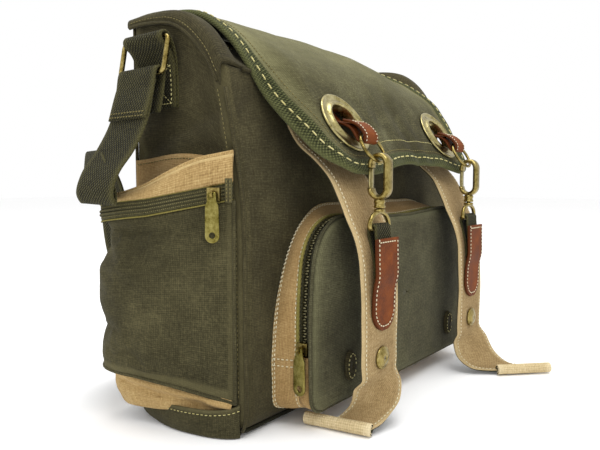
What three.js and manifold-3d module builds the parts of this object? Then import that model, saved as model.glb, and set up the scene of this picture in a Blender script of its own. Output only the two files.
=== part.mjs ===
// Canvas messenger bag: flap with clip-on closure straps, front and side pockets, shoulder strap.
// Millimetres. +Z up, -Y is the bag's front, origin at the centre of the base's underside.
import * as THREE from 'three';
import { mergeVertices } from 'three/addons/utils/BufferGeometryUtils.js';
import Module from 'manifold-3d';

const wasm = await Module();
wasm.setup();

// ---------------------------------------------------------------- driving dimensions
const GAP = 0.4;                  // air between neighbouring pieces
const HALF_WIDTH = 165;           // main body, outer face of a gusset
const WALL = 3;                   // body canvas with its lining
const BASE_HALF_DEPTH = 55.5;
const MOUTH_HALF_WIDTH = 115;     // opening under the flap
const MOUTH_FRONT = -12;
const MOUTH_BACK = 30;

const FLAP_TOP_HALF_WIDTH = 140;
const FLAP_LOW_HALF_WIDTH = 122;
const FLAP_CORNER = 34;
const FLAP_THICKNESS = 3;
const BINDING_WIDTH = 12;
const BINDING_THICKNESS = 4.4;

const EYELET_X = 81;
const EYELET_AT = [-85.7, 225.4]; // Y, Z of the eyelet's centre on the flap
const EYELET_HOLE = 15.5;
const EYELET_FLANGE = 26;
const TAB_WIDTH = 19;
const TAB_RING_TOP = [-105.8, 218.0];
const TAB_RING_LOW = [-119.5, 196.5];
const TAB_RING_WIRE = 1.25;
const TAB_RING_SAG = 4.6;         // drop of the ring's arc across the tab

const STRAP_X = 84;               // closure straps
const STRAP_WIDTH = 50;
const STRAP_THICKNESS = 2.4;
const HEM_RADIUS = 5;
const HOOK_X = 83;
const HOOK_Y = -120;
const HOOK_MID_Z = 186;
const HOOK_HALF_HEIGHT = 15.5;    // centre line of the hook's band
const HOOK_HALF_WIDTH = 7;
const HOOK_BAND = 3.5;
const HOOK_DEPTH = 7;
const EYE_BAR_Z = 148;
const EYE_HALF_WIDTH = 13.5;
const EYE_WIRE = 1.75;
const SNAP_Z = 52;

const POCKET_HALF_WIDTH = 127;    // front pocket
const POCKET_LOW = 16;
const POCKET_TOP = 160;
const POCKET_BACK = -62.6;
const POCKET_ZIP_BACK = -80;
const POCKET_ZIP_FRONT = -91.6;
const POCKET_FRONT = -96.6;
const ZIP_START_Z = 56.6;

const RING_BACK_Y = 52.5;          // rectangular shoulder-strap rings
const RING_FRONT_Y = -2.5;
const RING_WIRE = 2;
const RING_TOP = [178, 287];      // X, Z of the upper bar
const RING_LOW = [183, 261];
const WEB_WIDTH = 45;             // webbing inside the rings
const WEB_THICKNESS = 1.8;

// ---------------------------------------------------------------- materials
const paint = (color, roughness, metalness = 0) =>
  new THREE.MeshStandardMaterial({ color, roughness, metalness });
const CANVAS = paint(0x4a4430, 0.92);
const FLAP_CANVAS = paint(0x5f5a3c, 0.92);
const TAN = paint(0xa58a5e, 0.92);
const WEBBING = paint(0x3f4430, 0.88);
const LEATHER = paint(0x754628, 0.55);
const BRASS = paint(0x8a7a45, 0.38, 1);
const ZIP_TAPE = paint(0x39382b, 0.8);

// ---------------------------------------------------------------- solids from rings of points
const vec = (x, y, z) => new THREE.Vector3(x, y, z);

// Faces point outwards when the enclosed volume is positive.
function solid(points, triangles) {
  let volume = 0;
  for (const [a, b, c] of triangles) {
    volume += points[a].dot(points[b].clone().cross(points[c]));
  }
  const index = triangles.flatMap(([a, b, c]) => (volume > 0 ? [a, b, c] : [a, c, b]));
  const geometry = new THREE.BufferGeometry();
  geometry.setAttribute('position', new THREE.Float32BufferAttribute(points.flatMap((p) => p.toArray()), 3));
  geometry.setIndex(index);
  geometry.computeVertexNormals();
  return geometry;
}

function outlineFaces(outline) {
  const flat = outline.map(([u, v]) => new THREE.Vector2(u, v));
  const clockwise = THREE.ShapeUtils.isClockWise(flat);
  return THREE.ShapeUtils.triangulateShape(flat, []).map((f) => (clockwise ? [f[0], f[2], f[1]] : f));
}

// Faces across a ring whose second half runs back under its first half.
function stripFaces(size) {
  const faces = [];
  for (let j = 0; j < size / 2 - 1; j += 1) {
    faces.push([j, j + 1, size - 2 - j], [j, size - 2 - j, size - 1 - j]);
  }
  return faces;
}

// Skins a row of equal rings; capOutline is the flat outline used to fill both ends.
function skin(rings, capOutline, closed = false) {
  const size = rings[0].length;
  const points = rings.flat();
  const triangles = [];
  const last = closed ? rings.length : rings.length - 1;
  for (let i = 0; i < last; i += 1) {
    const here = i * size;
    const next = ((i + 1) % rings.length) * size;
    for (let j = 0; j < size; j += 1) {
      const k = (j + 1) % size;
      triangles.push([here + j, here + k, next + k], [here + j, next + k, next + j]);
    }
  }
  if (!closed) {
    const far = (rings.length - 1) * size;
    for (const [a, b, c] of capOutline ? outlineFaces(capOutline) : stripFaces(size)) {
      triangles.push([a, c, b], [far + a, far + b, far + c]);
    }
  }
  return solid(points, triangles);
}

// Sweeps a flat section through stations {at, side, up}.
function sweep(stations, section, closed = false) {
  const rings = stations.map(({ at, side, up }) => section.map(([u, v]) =>
    at.clone().addScaledVector(side, u).addScaledVector(up, v)));
  return skin(rings, section, closed);
}

const rectangle = (u0, u1, v0, v1) => [[u0, v0], [u1, v0], [u1, v1], [u0, v1]];
const circle = (radius, sides) => Array.from({ length: sides }, (_, i) => {
  const angle = (2 * Math.PI * i) / sides;
  return [radius * Math.cos(angle), radius * Math.sin(angle)];
});

// A flat strap: route is a list of [x, y, z, width direction x, y, z].
function ribbon(route, width, thickness, samples) {
  const centre = new THREE.CatmullRomCurve3(route.map(([x, y, z]) => vec(x, y, z)), false, 'centripetal');
  const across = new THREE.CatmullRomCurve3(route.map((r) => vec(r[3], r[4], r[5])));
  const stations = [];
  for (let i = 0; i <= samples; i += 1) {
    const t = i / samples;
    const along = centre.getTangent(t);
    const side = across.getPoint(t).normalize();
    stations.push({ at: centre.getPoint(t), side, up: along.clone().cross(side).normalize() });
  }
  const half = width / 2;
  return sweep(stations, rectangle(-half, half, -thickness / 2, thickness / 2));
}

// A round wire along a closed loop of points that lies in the plane of the two directions.
function wireLoop(points, normal, radius, sides) {
  const stations = points.map((at, i) => {
    const before = points[(i + points.length - 1) % points.length];
    const after = points[(i + 1) % points.length];
    const along = after.clone().sub(before).normalize();
    return { at, side: normal, up: along.clone().cross(normal).normalize() };
  });
  return sweep(stations, circle(radius, sides), true);
}

// Extrudes a flat outline; basis maps the outline's x, its y and the depth to the bag's axes.
function extrude(outline, depth, basis, offset, holes = []) {
  const turned = (points) => {
    const flat = points.map(([u, v]) => new THREE.Vector2(u, v));
    return THREE.ShapeUtils.isClockWise(flat) ? flat.reverse() : flat;
  };
  const shape = new THREE.Shape(turned(outline));
  shape.holes = holes.map((hole) => new THREE.Path(turned(hole)));
  const geometry = new THREE.ExtrudeGeometry(shape, { depth, bevelEnabled: false });
  geometry.applyMatrix4(new THREE.Matrix4().makeBasis(...basis));
  geometry.translate(...offset);
  return geometry;
}
const ALONG_X = [vec(0, 1, 0), vec(0, 0, 1), vec(1, 0, 0)];   // outline in Y, Z
const TOWARDS_FRONT = [vec(1, 0, 0), vec(0, 0, 1), vec(0, -1, 0)]; // outline in X, Z

// ---------------------------------------------------------------- booleans
function toManifold(geometry) {
  const bare = geometry.clone();
  bare.deleteAttribute('normal');
  bare.deleteAttribute('uv');
  const merged = mergeVertices(bare, 1e-4);
  return new wasm.Manifold(new wasm.Mesh({
    numProp: 3,
    vertProperties: new Float32Array(merged.attributes.position.array),
    triVerts: new Uint32Array(merged.index.array),
  }));
}

function fromManifold(manifold) {
  const mesh = manifold.getMesh();
  const geometry = new THREE.BufferGeometry();
  geometry.setAttribute('position', new THREE.Float32BufferAttribute(mesh.vertProperties, 3));
  geometry.setIndex(Array.from(mesh.triVerts));
  geometry.computeVertexNormals();
  return geometry;
}

const joined = (first, ...rest) => fromManifold(rest.reduce((sum, g) => sum.add(toManifold(g)), toManifold(first)));
const cut = (first, ...rest) => fromManifold(rest.reduce((sum, g) => sum.subtract(toManifold(g)), toManifold(first)));

function block(x0, x1, y0, y1, z0, z1) {
  const geometry = new THREE.BoxGeometry(x1 - x0, y1 - y0, z1 - z0);
  geometry.translate((x0 + x1) / 2, (y0 + y1) / 2, (z0 + z1) / 2);
  return geometry;
}

function rod(radius, length, sides, from, direction) {
  const geometry = new THREE.CylinderGeometry(radius, radius, length, sides);
  geometry.translate(0, length / 2, 0);
  geometry.applyQuaternion(new THREE.Quaternion().setFromUnitVectors(vec(0, 1, 0), direction));
  geometry.translate(from.x, from.y, from.z);
  return geometry;
}

// ---------------------------------------------------------------- assembly
const bag = new THREE.Group();
bag.name = 'messenger_bag';

function add(name, geometry, material) {
  const mesh = new THREE.Mesh(geometry, material);
  mesh.name = name;
  bag.add(mesh);
}
const SIDES = [['left', -1], ['right', 1]];
const mirrored = (points, sign) => points.map(([x, ...rest]) => [x * sign, ...rest]);

// ---------------------------------------------------------------- main body
const FRONT_EDGE = new THREE.SplineCurve([[-56, 3.4], [-61.5, 18], [-61, 70], [-61, 130], [-60, 165], [-52, 209],
  [-44, 246], [-40.5, 262]].map(([y, z]) => new THREE.Vector2(y, z))).getPoints(18).map((p) => [p.x, p.y]);
const BACK_EDGE = [[56, 3.4], [58, 70], [59, 190], [59, 305.1]];
const TOP_OUTER = [[-40.8, 262.8], [18, 297], [59, 309.8]];

function bodyPanels() {
  const inset = (edge, dy) => edge.map(([y, z]) => [y + dy, z]);
  const panelWidth = 2 * (HALF_WIDTH - WALL - GAP);
  const start = -panelWidth / 2;
  const front = [...FRONT_EDGE, ...inset(FRONT_EDGE, WALL).reverse()];
  const back = [...BACK_EDGE, ...inset(BACK_EDGE, -WALL).reverse()];
  add('base_panel', block(-HALF_WIDTH, HALF_WIDTH, -BASE_HALF_DEPTH, BASE_HALF_DEPTH, 0, WALL), CANVAS);
  add('front_panel', extrude(front, panelWidth, ALONG_X, [start, 0, 0]), CANVAS);
  add('back_panel', extrude(back, panelWidth, ALONG_X, [start, 0, 0]), CANVAS);

  const top = [...TOP_OUTER, [59, 306.6], [18, 293.8], [-37, 261.9], [-37, 262.6]];
  const mouth = block(-MOUTH_HALF_WIDTH, MOUTH_HALF_WIDTH, MOUTH_FRONT, MOUTH_BACK, 240, 340);
  add('top_panel', cut(extrude(top, panelWidth, ALONG_X, [start, 0, 0]), mouth), CANVAS);

  const ear = [[-40.8, 267], [-31, 283], [-19, 295.5], [-5, 303.5], [10, 308.5], [35, 311], [59, 310.5]];
  const gusset = [...FRONT_EDGE, ...ear, ...BACK_EDGE.slice().reverse()];
  for (const [name, sign] of SIDES) {
    const x = sign < 0 ? -HALF_WIDTH : HALF_WIDTH - WALL;
    add(`${name}_gusset`, extrude(gusset, WALL, ALONG_X, [x, 0, 0]), CANVAS);
  }
}

// ---------------------------------------------------------------- flap
// Profiles from the hinge to the lower edge, Y and Z: the left edge droops close over the body, and the
// right one hangs a little in front of it.
const yz = (points) => new THREE.CatmullRomCurve3(points.map(([y, z]) => vec(0, y, z)), false, 'catmullrom', 0.5);
const FLAP_MIDDLE = yz([[60, 314], [33, 317], [4, 310], [-30, 292], [-58, 269.2], [-74.7, 242.8],
  [-91.3, 216.4], [-107.4, 190]]);
const FLAP_LEFT = yz([[60, 314], [33, 316], [10, 312.5], [-19, 294], [-40.5, 268.3], [-56, 235], [-83, 203],
  [-104, 188]]);
const FLAP_RIGHT = yz([[60, 314], [33, 311], [6, 299], [-27, 282.5], [-55, 263.5], [-74.7, 242.8], [-91.3, 216.4],
  [-107.4, 190]]);
const FLAP_DOWN = vec(0, -50, -79.2).normalize();
const FLAP_LENGTH = FLAP_MIDDLE.getLength();

function flapPoint(x, t) {
  const blend = x < 0 ? THREE.MathUtils.smoothstep(-x, 105, 136) : THREE.MathUtils.smoothstep(x, 40, 125);
  const edge = (x < 0 ? FLAP_LEFT : FLAP_RIGHT).getPoint(t);
  return FLAP_MIDDLE.getPoint(t).lerp(edge, blend).addScaledVector(FLAP_DOWN, -footRise(x, t)).setX(x);
}

// The lower edge is arched: higher at the middle than at the corners.
function footRise(x, t) {
  const arch = 1 - THREE.MathUtils.smoothstep(Math.abs(x - 20), 25, 90);
  return THREE.MathUtils.smoothstep(t, 0.6, 1) * (11 * arch - 2);
}

function flapNormal(x, t) {
  const step = 0.004;
  const down = flapPoint(x, Math.min(1, t + step)).sub(flapPoint(x, Math.max(0, t - step)));
  const across = flapPoint(x + step * 100, t).sub(flapPoint(x - step * 100, t));
  return down.cross(across).normalize().negate();
}

// Half width at t, with the lower corners rounded.
function flapHalfWidth(t, inset) {
  const taper = THREE.MathUtils.smoothstep(t, 0.5, 0.9);
  const half = THREE.MathUtils.lerp(FLAP_TOP_HALF_WIDTH, FLAP_LOW_HALF_WIDTH, taper) - inset;
  const radius = FLAP_CORNER - inset;
  const toEdge = (1 - t) * FLAP_LENGTH - inset;
  if (toEdge >= radius) return half;
  const rise = radius - Math.max(0, toEdge);
  return half - radius + Math.sqrt(Math.max(0, radius * radius - rise * rise));
}

const flapVertex = (x, t, height) => flapPoint(x, t).addScaledVector(flapNormal(x, t), height);

// Values of t down the flap: even, then bunched round the corner's arc.
function flapRows(inset) {
  const radius = FLAP_CORNER - inset;
  const end = 1 - inset / FLAP_LENGTH;
  const arcStart = end - radius / FLAP_LENGTH;
  const rows = [];
  for (let i = 0; i < 20; i += 1) rows.push((arcStart * i) / 20);
  for (let i = 0; i <= 6; i += 1) rows.push(arcStart + (end - arcStart) * Math.sin((i * Math.PI) / 12));
  return rows;
}

function flapPanel() {
  const inset = BINDING_WIDTH + 1.5 * GAP;
  const columns = [-1, -0.95, -0.9, -0.84, -0.77, -0.68, -0.59, -0.5, -0.41, -0.32, -0.23, -0.14, -0.05, 0.05, 0.14,
    0.23, 0.32, 0.41, 0.5, 0.6, 0.7, 0.8, 0.9, 1];
  const half = FLAP_THICKNESS / 2;
  const rings = flapRows(inset).map((t) => {
    const reach = flapHalfWidth(t, inset);
    const row = (height) => columns.map((c) => flapVertex(c * reach, t, height));
    return [...row(half), ...row(-half).reverse()];
  });
  const panel = skin(rings, null);
  const holes = SIDES.map(([, sign]) => {
    const from = vec(sign * EYELET_X, ...EYELET_AT).addScaledVector(EYELET_NORMAL, -8);
    return rod(EYELET_HOLE + 1.9, 16, 32, from, EYELET_NORMAL);
  });
  add('flap_panel', cut(panel, ...holes), FLAP_CANVAS);
}

function flapBinding() {
  const inner = BINDING_WIDTH;
  const half = BINDING_THICKNESS / 2;
  const rowsIn = flapRows(inner);
  const rowsOut = flapRows(0);
  const path = rowsOut.map((t, i) => [
    [-flapHalfWidth(t, 0), t], [-flapHalfWidth(rowsIn[i], inner), rowsIn[i]],
  ]);
  const lowest = path[path.length - 1];
  const across = [0.9, 0.8, 0.7, 0.6, 0.5, 0.4, 0.3, 0.2, 0.1, 0].map((f) => lowest.map(([x, t]) => [x * f, t]));
  const leftHalf = [...path, ...across];
  const rightHalf = leftHalf.slice(0, -1).reverse().map((pair) => pair.map(([x, t]) => [-x, t]));
  const rings = [...leftHalf, ...rightHalf].map(([[xo, to], [xi, ti]]) => [
    flapVertex(xo, to, half), flapVertex(xi, ti, half), flapVertex(xi, ti, -half), flapVertex(xo, to, -half),
  ]);
  add('flap_binding', skin(rings, rectangle(-1, 1, -1, 1)), WEBBING);
}

// ---------------------------------------------------------------- eyelets, leather tabs and their rings
const EYELET_NORMAL = vec(0, -79.2, 50).normalize();

function eyelet(x) {
  const grip = FLAP_THICKNESS / 2 + 0.7;
  const profile = [[12.5, 0], [12.9, -grip - 1.1], [19, -grip - 1.1], [19, -grip], [14, -grip], [14, grip],
    [20.6, grip], [21, 2.4], [20, 3.4], [17, 4.2], [14.5, 4.6], [12.5, 3.4]];
  const points = profile.map(([r, h]) => new THREE.Vector2(r * (EYELET_FLANGE / 21), h));
  const ring = new THREE.LatheGeometry([...points, points[0]], 32);
  ring.applyQuaternion(new THREE.Quaternion().setFromUnitVectors(vec(0, 1, 0), EYELET_NORMAL));
  ring.translate(x, ...EYELET_AT);
  return ring;
}

// The tab is sewn under the flap, comes up through the eyelet, wraps the ring and comes back.
// Its route is in the flap's own plane: distance down the flap, height above it.
function leatherTab(x) {
  const rel = vec(0, TAB_RING_TOP[0] - EYELET_AT[0], TAB_RING_TOP[1] - EYELET_AT[1]);
  const ring = rel.dot(EYELET_NORMAL);
  const end = rel.dot(FLAP_DOWN) + TAB_RING_SAG;
  const wrap = TAB_RING_WIRE + 1.9;
  const lower = [[-34, -6.4], [-14, -6.4], [-6, -4.2], [0, 2], [6, ring - 6], [11, ring - 3.6], [16, ring - wrap],
    [end, ring - wrap]];
  const upper = [[end + wrap, ring], [end, ring + wrap], [16, ring + wrap], [11, ring + 1.6], [6, ring - 1.6], [1, ring - 6.4]];
  const route = [...lower, ...upper].map(([s, n]) => [...vec(x, ...EYELET_AT).addScaledVector(FLAP_DOWN, s)
    .addScaledVector(EYELET_NORMAL, n).toArray(), 1, 0, 0]);
  return ribbon(route, TAB_WIDTH, 2, 40);
}

function tabRing(x) {
  const top = vec(x, ...TAB_RING_TOP);
  const low = vec(x, ...TAB_RING_LOW);
  const centre = top.clone().lerp(low, 0.5);
  const down = low.clone().sub(top).normalize();
  const radius = top.distanceTo(low) / 2;
  const points = circle(radius, 28).map(([u, v]) =>
    centre.clone().addScaledVector(vec(1, 0, 0), u).addScaledVector(down, v));
  return wireLoop(points, vec(1, 0, 0).cross(down).normalize(), TAB_RING_WIRE, 8);
}

// ---------------------------------------------------------------- closure straps
const STRAP_FALL = [[-50.2, 240], [-53, 226], [-62, 212], [-80, 198], [-94, 184], [-103, 168], [-109, 154],
  [-112.4, 147], [-116, 138], [-119.2, 125], [-120.5, 113], [-121.5, 95], [-122, 76], [-122, 58], [-122, 41]];
const STRAP_FOOT = {
  left: [[-85, -121.5, 30, 0.9, -0.43, 0], [-89, -119.5, 19, 0.68, -0.73, 0], [-95, -114.5, 10.8, 0.45, -0.89, 0],
    [-103, -108, 6.4, 0.28, -0.96, 0], [-111, -103, 5.2, 0.2, -0.98, 0]],
  right: [[84.5, -124, 30, 0.96, -0.28, 0], [86, -130, 15, 0.9, -0.43, 0], [90.5, -141, 6, 0.88, -0.47, 0],
    [97.5, -156, 4, 0.8, -0.6, 0], [104, -169, 5.2, 0.72, -0.69, 0]],
};

function closureStrap(name, sign) {
  const fall = STRAP_FALL.map(([y, z]) => [sign * STRAP_X, y, z, 1, 0, 0]);
  const route = [...fall, ...STRAP_FOOT[name]];
  const [x, y, z, wx, wy, wz] = route[route.length - 1];
  const axis = vec(wx, wy, wz).normalize();
  const hemHalf = STRAP_WIDTH / 2 + 1;
  const hem = rod(HEM_RADIUS, 2 * hemHalf, 20, vec(x, y, z).addScaledVector(axis, -hemHalf), axis);
  return joined(ribbon(route, STRAP_WIDTH, STRAP_THICKNESS, 64), hem);
}

// Leather patch with a rounded foot, over the hook's webbing loop.
function leatherPatch(x) {
  const fall = [[-126.8, 141], [-127.2, 126], [-127.3, 113], [-125.4, 104], [-124.6, 92], [-124.8, 73]];
  const half = 16;
  const curve = new THREE.CatmullRomCurve3(fall.map(([y, z]) => vec(0, y, z)), false, 'centripetal');
  const rings = [];
  const steps = 20;
  for (let i = 0; i <= steps; i += 1) {
    const t = i / steps;
    const at = curve.getPoint(t);
    const toFoot = at.z - fall[fall.length - 1][1];
    const rise = Math.max(0, half - 0.6 - toFoot);
    const reach = Math.sqrt(Math.max(3, half * half - rise * rise));
    rings.push([[-reach, -1], [reach, -1], [reach, 1], [-reach, 1]].map(([u, v]) => vec(x + u, at.y + v, at.z)));
  }
  return skin(rings, rectangle(-1, 1, -1, 1));
}

// Olive webbing folded over the bar of the hook's eye, both ends under the patch.
function hookLoop(x) {
  const bend = EYE_WIRE + 1.3;
  const over = [150, 90, 30].map((deg) => {
    const a = THREE.MathUtils.degToRad(deg);
    return [HOOK_Y - bend * Math.cos(a), EYE_BAR_Z + bend * Math.sin(a)];
  });
  const fall = [[-122.9, 112], [-122.1, 124], [-118.7, 137], [-117, 146], ...over, [-123.2, 145], [-124.1, 136],
    [-125, 124], [-125.2, 112]];
  return ribbon(fall.map(([y, z]) => [x, y, z, 1, 0, 0]), 2 * (EYE_HALF_WIDTH - EYE_WIRE) - 1, 1.6, 36);
}

// D-shaped eye with the swivel's pin: an arch over a straight bar.
function hookEye(x) {
  const archTop = 160;
  const points = [];
  for (let i = 0; i <= 16; i += 1) {
    const a = (Math.PI * i) / 16;
    points.push(vec(x + EYE_HALF_WIDTH * Math.cos(a), HOOK_Y, EYE_BAR_Z + 2 + (archTop - EYE_BAR_Z - 2) * Math.sin(a)));
  }
  for (const f of [-0.8, 0, 0.8]) points.push(vec(x + EYE_HALF_WIDTH * f, HOOK_Y, EYE_BAR_Z));
  const loop = wireLoop(points, vec(0, 1, 0), EYE_WIRE, 10);
  const collar = rod(4, 2.2, 20, vec(x, HOOK_Y, archTop + 0.4), vec(0, 0, 1));
  const pin = rod(1.5, 5, 14, vec(x, HOOK_Y, archTop + 2), vec(0, 0, 1));
  return joined(loop, collar, pin);
}

// Oval band open on the bag's side, where the gate sits, with the swivel barrel below.
const GATE_LOW = 176;
const GATE_HIGH = 192;
function stadium(halfWidth, halfHeight, steps) {
  const straight = halfHeight - halfWidth;
  const half = (centre, from) => Array.from({ length: steps + 1 }, (_, i) => {
    const a = from + (Math.PI * i) / steps;
    return [HOOK_Y + halfWidth * Math.cos(a), HOOK_MID_Z + centre + halfWidth * Math.sin(a)];
  });
  return [...half(straight, 0), ...half(-straight, Math.PI)];
}

function hookFrame(x) {
  const band = HOOK_BAND / 2;
  const outer = stadium(HOOK_HALF_WIDTH + band, HOOK_HALF_HEIGHT + band, 12);
  const inner = stadium(HOOK_HALF_WIDTH - band, HOOK_HALF_HEIGHT - band, 12);
  const oval = extrude(outer, HOOK_DEPTH, ALONG_X, [x - HOOK_DEPTH / 2, 0, 0], [inner]);
  const low = HOOK_MID_Z - HOOK_HALF_HEIGHT;
  const barrel = rod(4.2, 6.6, 20, vec(x, HOOK_Y, low - 7.5), vec(0, 0, 1));
  const bore = rod(2, 6, 14, vec(x, HOOK_Y, low - 8.5), vec(0, 0, 1));
  const gap = block(x - 5, x + 5, HOOK_Y + 3.5, HOOK_Y + 12, GATE_LOW - 2 * GAP, GATE_HIGH + GAP);
  return cut(joined(oval, barrel), bore, gap);
}

const hookGate = (x) => block(x - 3, x + 3, HOOK_Y + 6, HOOK_Y + 7.8, GATE_LOW, GATE_HIGH);

// Domed cap, flat side towards +Y.
function snapCap(x, y, z, radius, height) {
  const profile = [[0, 0], [radius, 0], [radius, height * 0.3], [radius * 0.82, height * 0.75], [radius * 0.45, height],
    [0, height]].map(([r, h]) => new THREE.Vector2(r, h));
  const cap = new THREE.LatheGeometry(profile, 28);
  cap.applyQuaternion(new THREE.Quaternion().setFromUnitVectors(vec(0, 1, 0), vec(0, -1, 0)));
  cap.translate(x, y, z);
  return cap;
}

function snapPatch(x) {
  const outline = circle(1, 24).map(([u, v]) => [x + 6.5 * u, 41 + 11.5 * v]);
  return extrude(outline, 1.4, TOWARDS_FRONT, [0, POCKET_FRONT - GAP, 0]);
}

// ---------------------------------------------------------------- front pocket
// Rounded outline in X, Z.
function pocketOutline(inset) {
  const half = POCKET_HALF_WIDTH - inset;
  const low = POCKET_LOW + inset;
  const top = POCKET_TOP - inset;
  const arc = (cx, cz, radius, from) => Array.from({ length: 9 }, (_, i) => {
    const a = THREE.MathUtils.degToRad(from + (90 * i) / 8);
    return [cx + radius * Math.cos(a), cz + radius * Math.sin(a)];
  });
  const big = 45 - inset;
  const small = 18 - inset;
  return [...arc(half - big, top - big, big, 0), ...arc(big - half, top - big, big, 90),
    ...arc(small - half, low + small, small, 180), ...arc(half - small, low + small, small, 270)];
}

function frontPocket() {
  const band = (from, to) => extrude(pocketOutline(0), from - to, TOWARDS_FRONT, [0, from, 0],
    [pocketOutline(WALL)]);
  const above = block(-200, 200, -120, POCKET_ZIP_BACK, ZIP_START_Z, 200);
  const below = block(-200, 200, -120, 0, -10, ZIP_START_Z + GAP);
  add('front_pocket_gusset', cut(band(POCKET_BACK, POCKET_ZIP_FRONT), above), TAN);
  add('front_pocket_zipper', cut(band(POCKET_ZIP_BACK - GAP, POCKET_ZIP_FRONT), below), ZIP_TAPE);
  const depth = POCKET_ZIP_FRONT - GAP - POCKET_FRONT;
  add('front_pocket_panel', extrude(pocketOutline(0.5), depth, TOWARDS_FRONT, [0, POCKET_ZIP_FRONT - GAP, 0]), CANVAS);
}

// ---------------------------------------------------------------- zipper sliders and pulls
// Local frame: +X away from the tape, Y along the pivot, origin on the tape.
const PIVOT_OUT = 7.8;
function zipSlider() {
  const housing = block(GAP, 5, -4.5, 4.5, -4.5, 4.5);
  const lug = rod(2.7, 1.6, 16, vec(PIVOT_OUT, -0.8, 0), vec(0, 1, 0));
  const neck = block(4, 7, -0.8, 0.8, -2, 2);
  const eye = rod(1.5, 4, 16, vec(PIVOT_OUT, -2, 0), vec(0, 1, 0));
  return cut(joined(housing, lug, neck), eye);
}

function zipPull() {
  const outline = [[-3.4, 1.2], [3.4, 1.2], [4.2, -8], [5.4, -10], [4.2, -29], ...Array.from({ length: 7 }, (_, i) => {
    const a = (-Math.PI * (i + 1)) / 8;
    return [4.2 * Math.cos(a), -29.5 + 4.2 * Math.sin(a)];
  }), [-4.2, -29], [-5.4, -10], [-4.2, -8]];
  const window = [[-2, -1.2], [2, -1.2], [2, -5.6], [-2, -5.6]];
  const paddle = extrude(outline, 1.5, [vec(0, 1, 0), vec(0, 0, 1), vec(1, 0, 0)], [PIVOT_OUT - 0.75, 0, 0], [window]);
  const overBar = block(PIVOT_OUT - 3, PIVOT_OUT + 3, -2, 2, -2, 3);
  const bar = rod(0.9, 4.6, 12, vec(PIVOT_OUT, -2.3, 0), vec(0, 1, 0));
  return joined(cut(paddle, overBar), bar);
}

function placed(geometry, angle, at) {
  const copy = geometry.clone();
  copy.rotateZ(angle);
  copy.translate(...at);
  return copy;
}

// ---------------------------------------------------------------- side pockets
// Plan of the pocket on the left gusset: a straight run back from the front seam, then a bulge.
const SIDE_START = [-168, -54];
const SIDE_BEND = [-199, 2];
const SIDE_BULGE = [[-199, 2], [-207.5, 24], [-207, 43], [-196, 54.5], [-167, 58]];
const ZIP_Z = { start: 176, bend: 164, back: 158, end: 160 };
const ZIP_HALF_HEIGHT = 7;

function sidePlan() {
  const plan = [];
  for (let i = 0; i < 5; i += 1) {
    const f = i / 5;
    plan.push({ x: THREE.MathUtils.lerp(SIDE_START[0], SIDE_BEND[0], f),
      y: THREE.MathUtils.lerp(SIDE_START[1], SIDE_BEND[1], f),
      z: THREE.MathUtils.lerp(ZIP_Z.start, ZIP_Z.bend, f) });
  }
  const bulge = new THREE.SplineCurve(SIDE_BULGE.map(([x, y]) => new THREE.Vector2(x, y)));
  bulge.getPoints(14).forEach((p, i) => {
    const f = i / 14;
    const z = f < 0.6 ? THREE.MathUtils.lerp(ZIP_Z.bend, ZIP_Z.back, f / 0.6)
      : THREE.MathUtils.lerp(ZIP_Z.back, ZIP_Z.end, (f - 0.6) / 0.4);
    plan.push({ x: p.x, y: p.y, z });
  });
  return plan;
}

// A band that follows the plan, between two heights measured from the zipper's middle.
function sideBand(sign, low, high, thickness) {
  const plan = sidePlan();
  const stations = plan.map((p, i) => {
    const before = plan[Math.max(0, i - 1)];
    const after = plan[Math.min(plan.length - 1, i + 1)];
    const along = vec(after.x - before.x, after.y - before.y, 0).normalize();
    const outward = vec(-along.y, along.x, 0);
    return { at: vec(sign * -p.x, p.y, p.z), side: vec(sign * -outward.x, outward.y, 0), up: vec(0, 0, 1) };
  });
  return sweep(stations, rectangle(-thickness, 0, low, high));
}

// A filled soft shape under the zipper: levels are [height or null for the zipper's line, bulge].
function sideLoft(sign, levels, plan) {
  const wall = HALF_WIDTH + 0.5;
  const rings = levels.map(([z, bulge]) => plan.map((p) =>
    vec(sign * (wall + Math.max(0, -p.x - 166) * bulge), p.y, z === null ? p.z - ZIP_HALF_HEIGHT - 2 * GAP : z)));
  return skin(rings, plan.map((p) => [p.x, p.y]));
}

const BASE_PLAN = new THREE.SplineCurve([[-166, -57], [-181, -56], [-190, -38], [-189, -8], [-183, 24], [-174, 44],
  [-166, 52]].map(([x, y]) => new THREE.Vector2(x, y))).getPoints(18);

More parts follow.
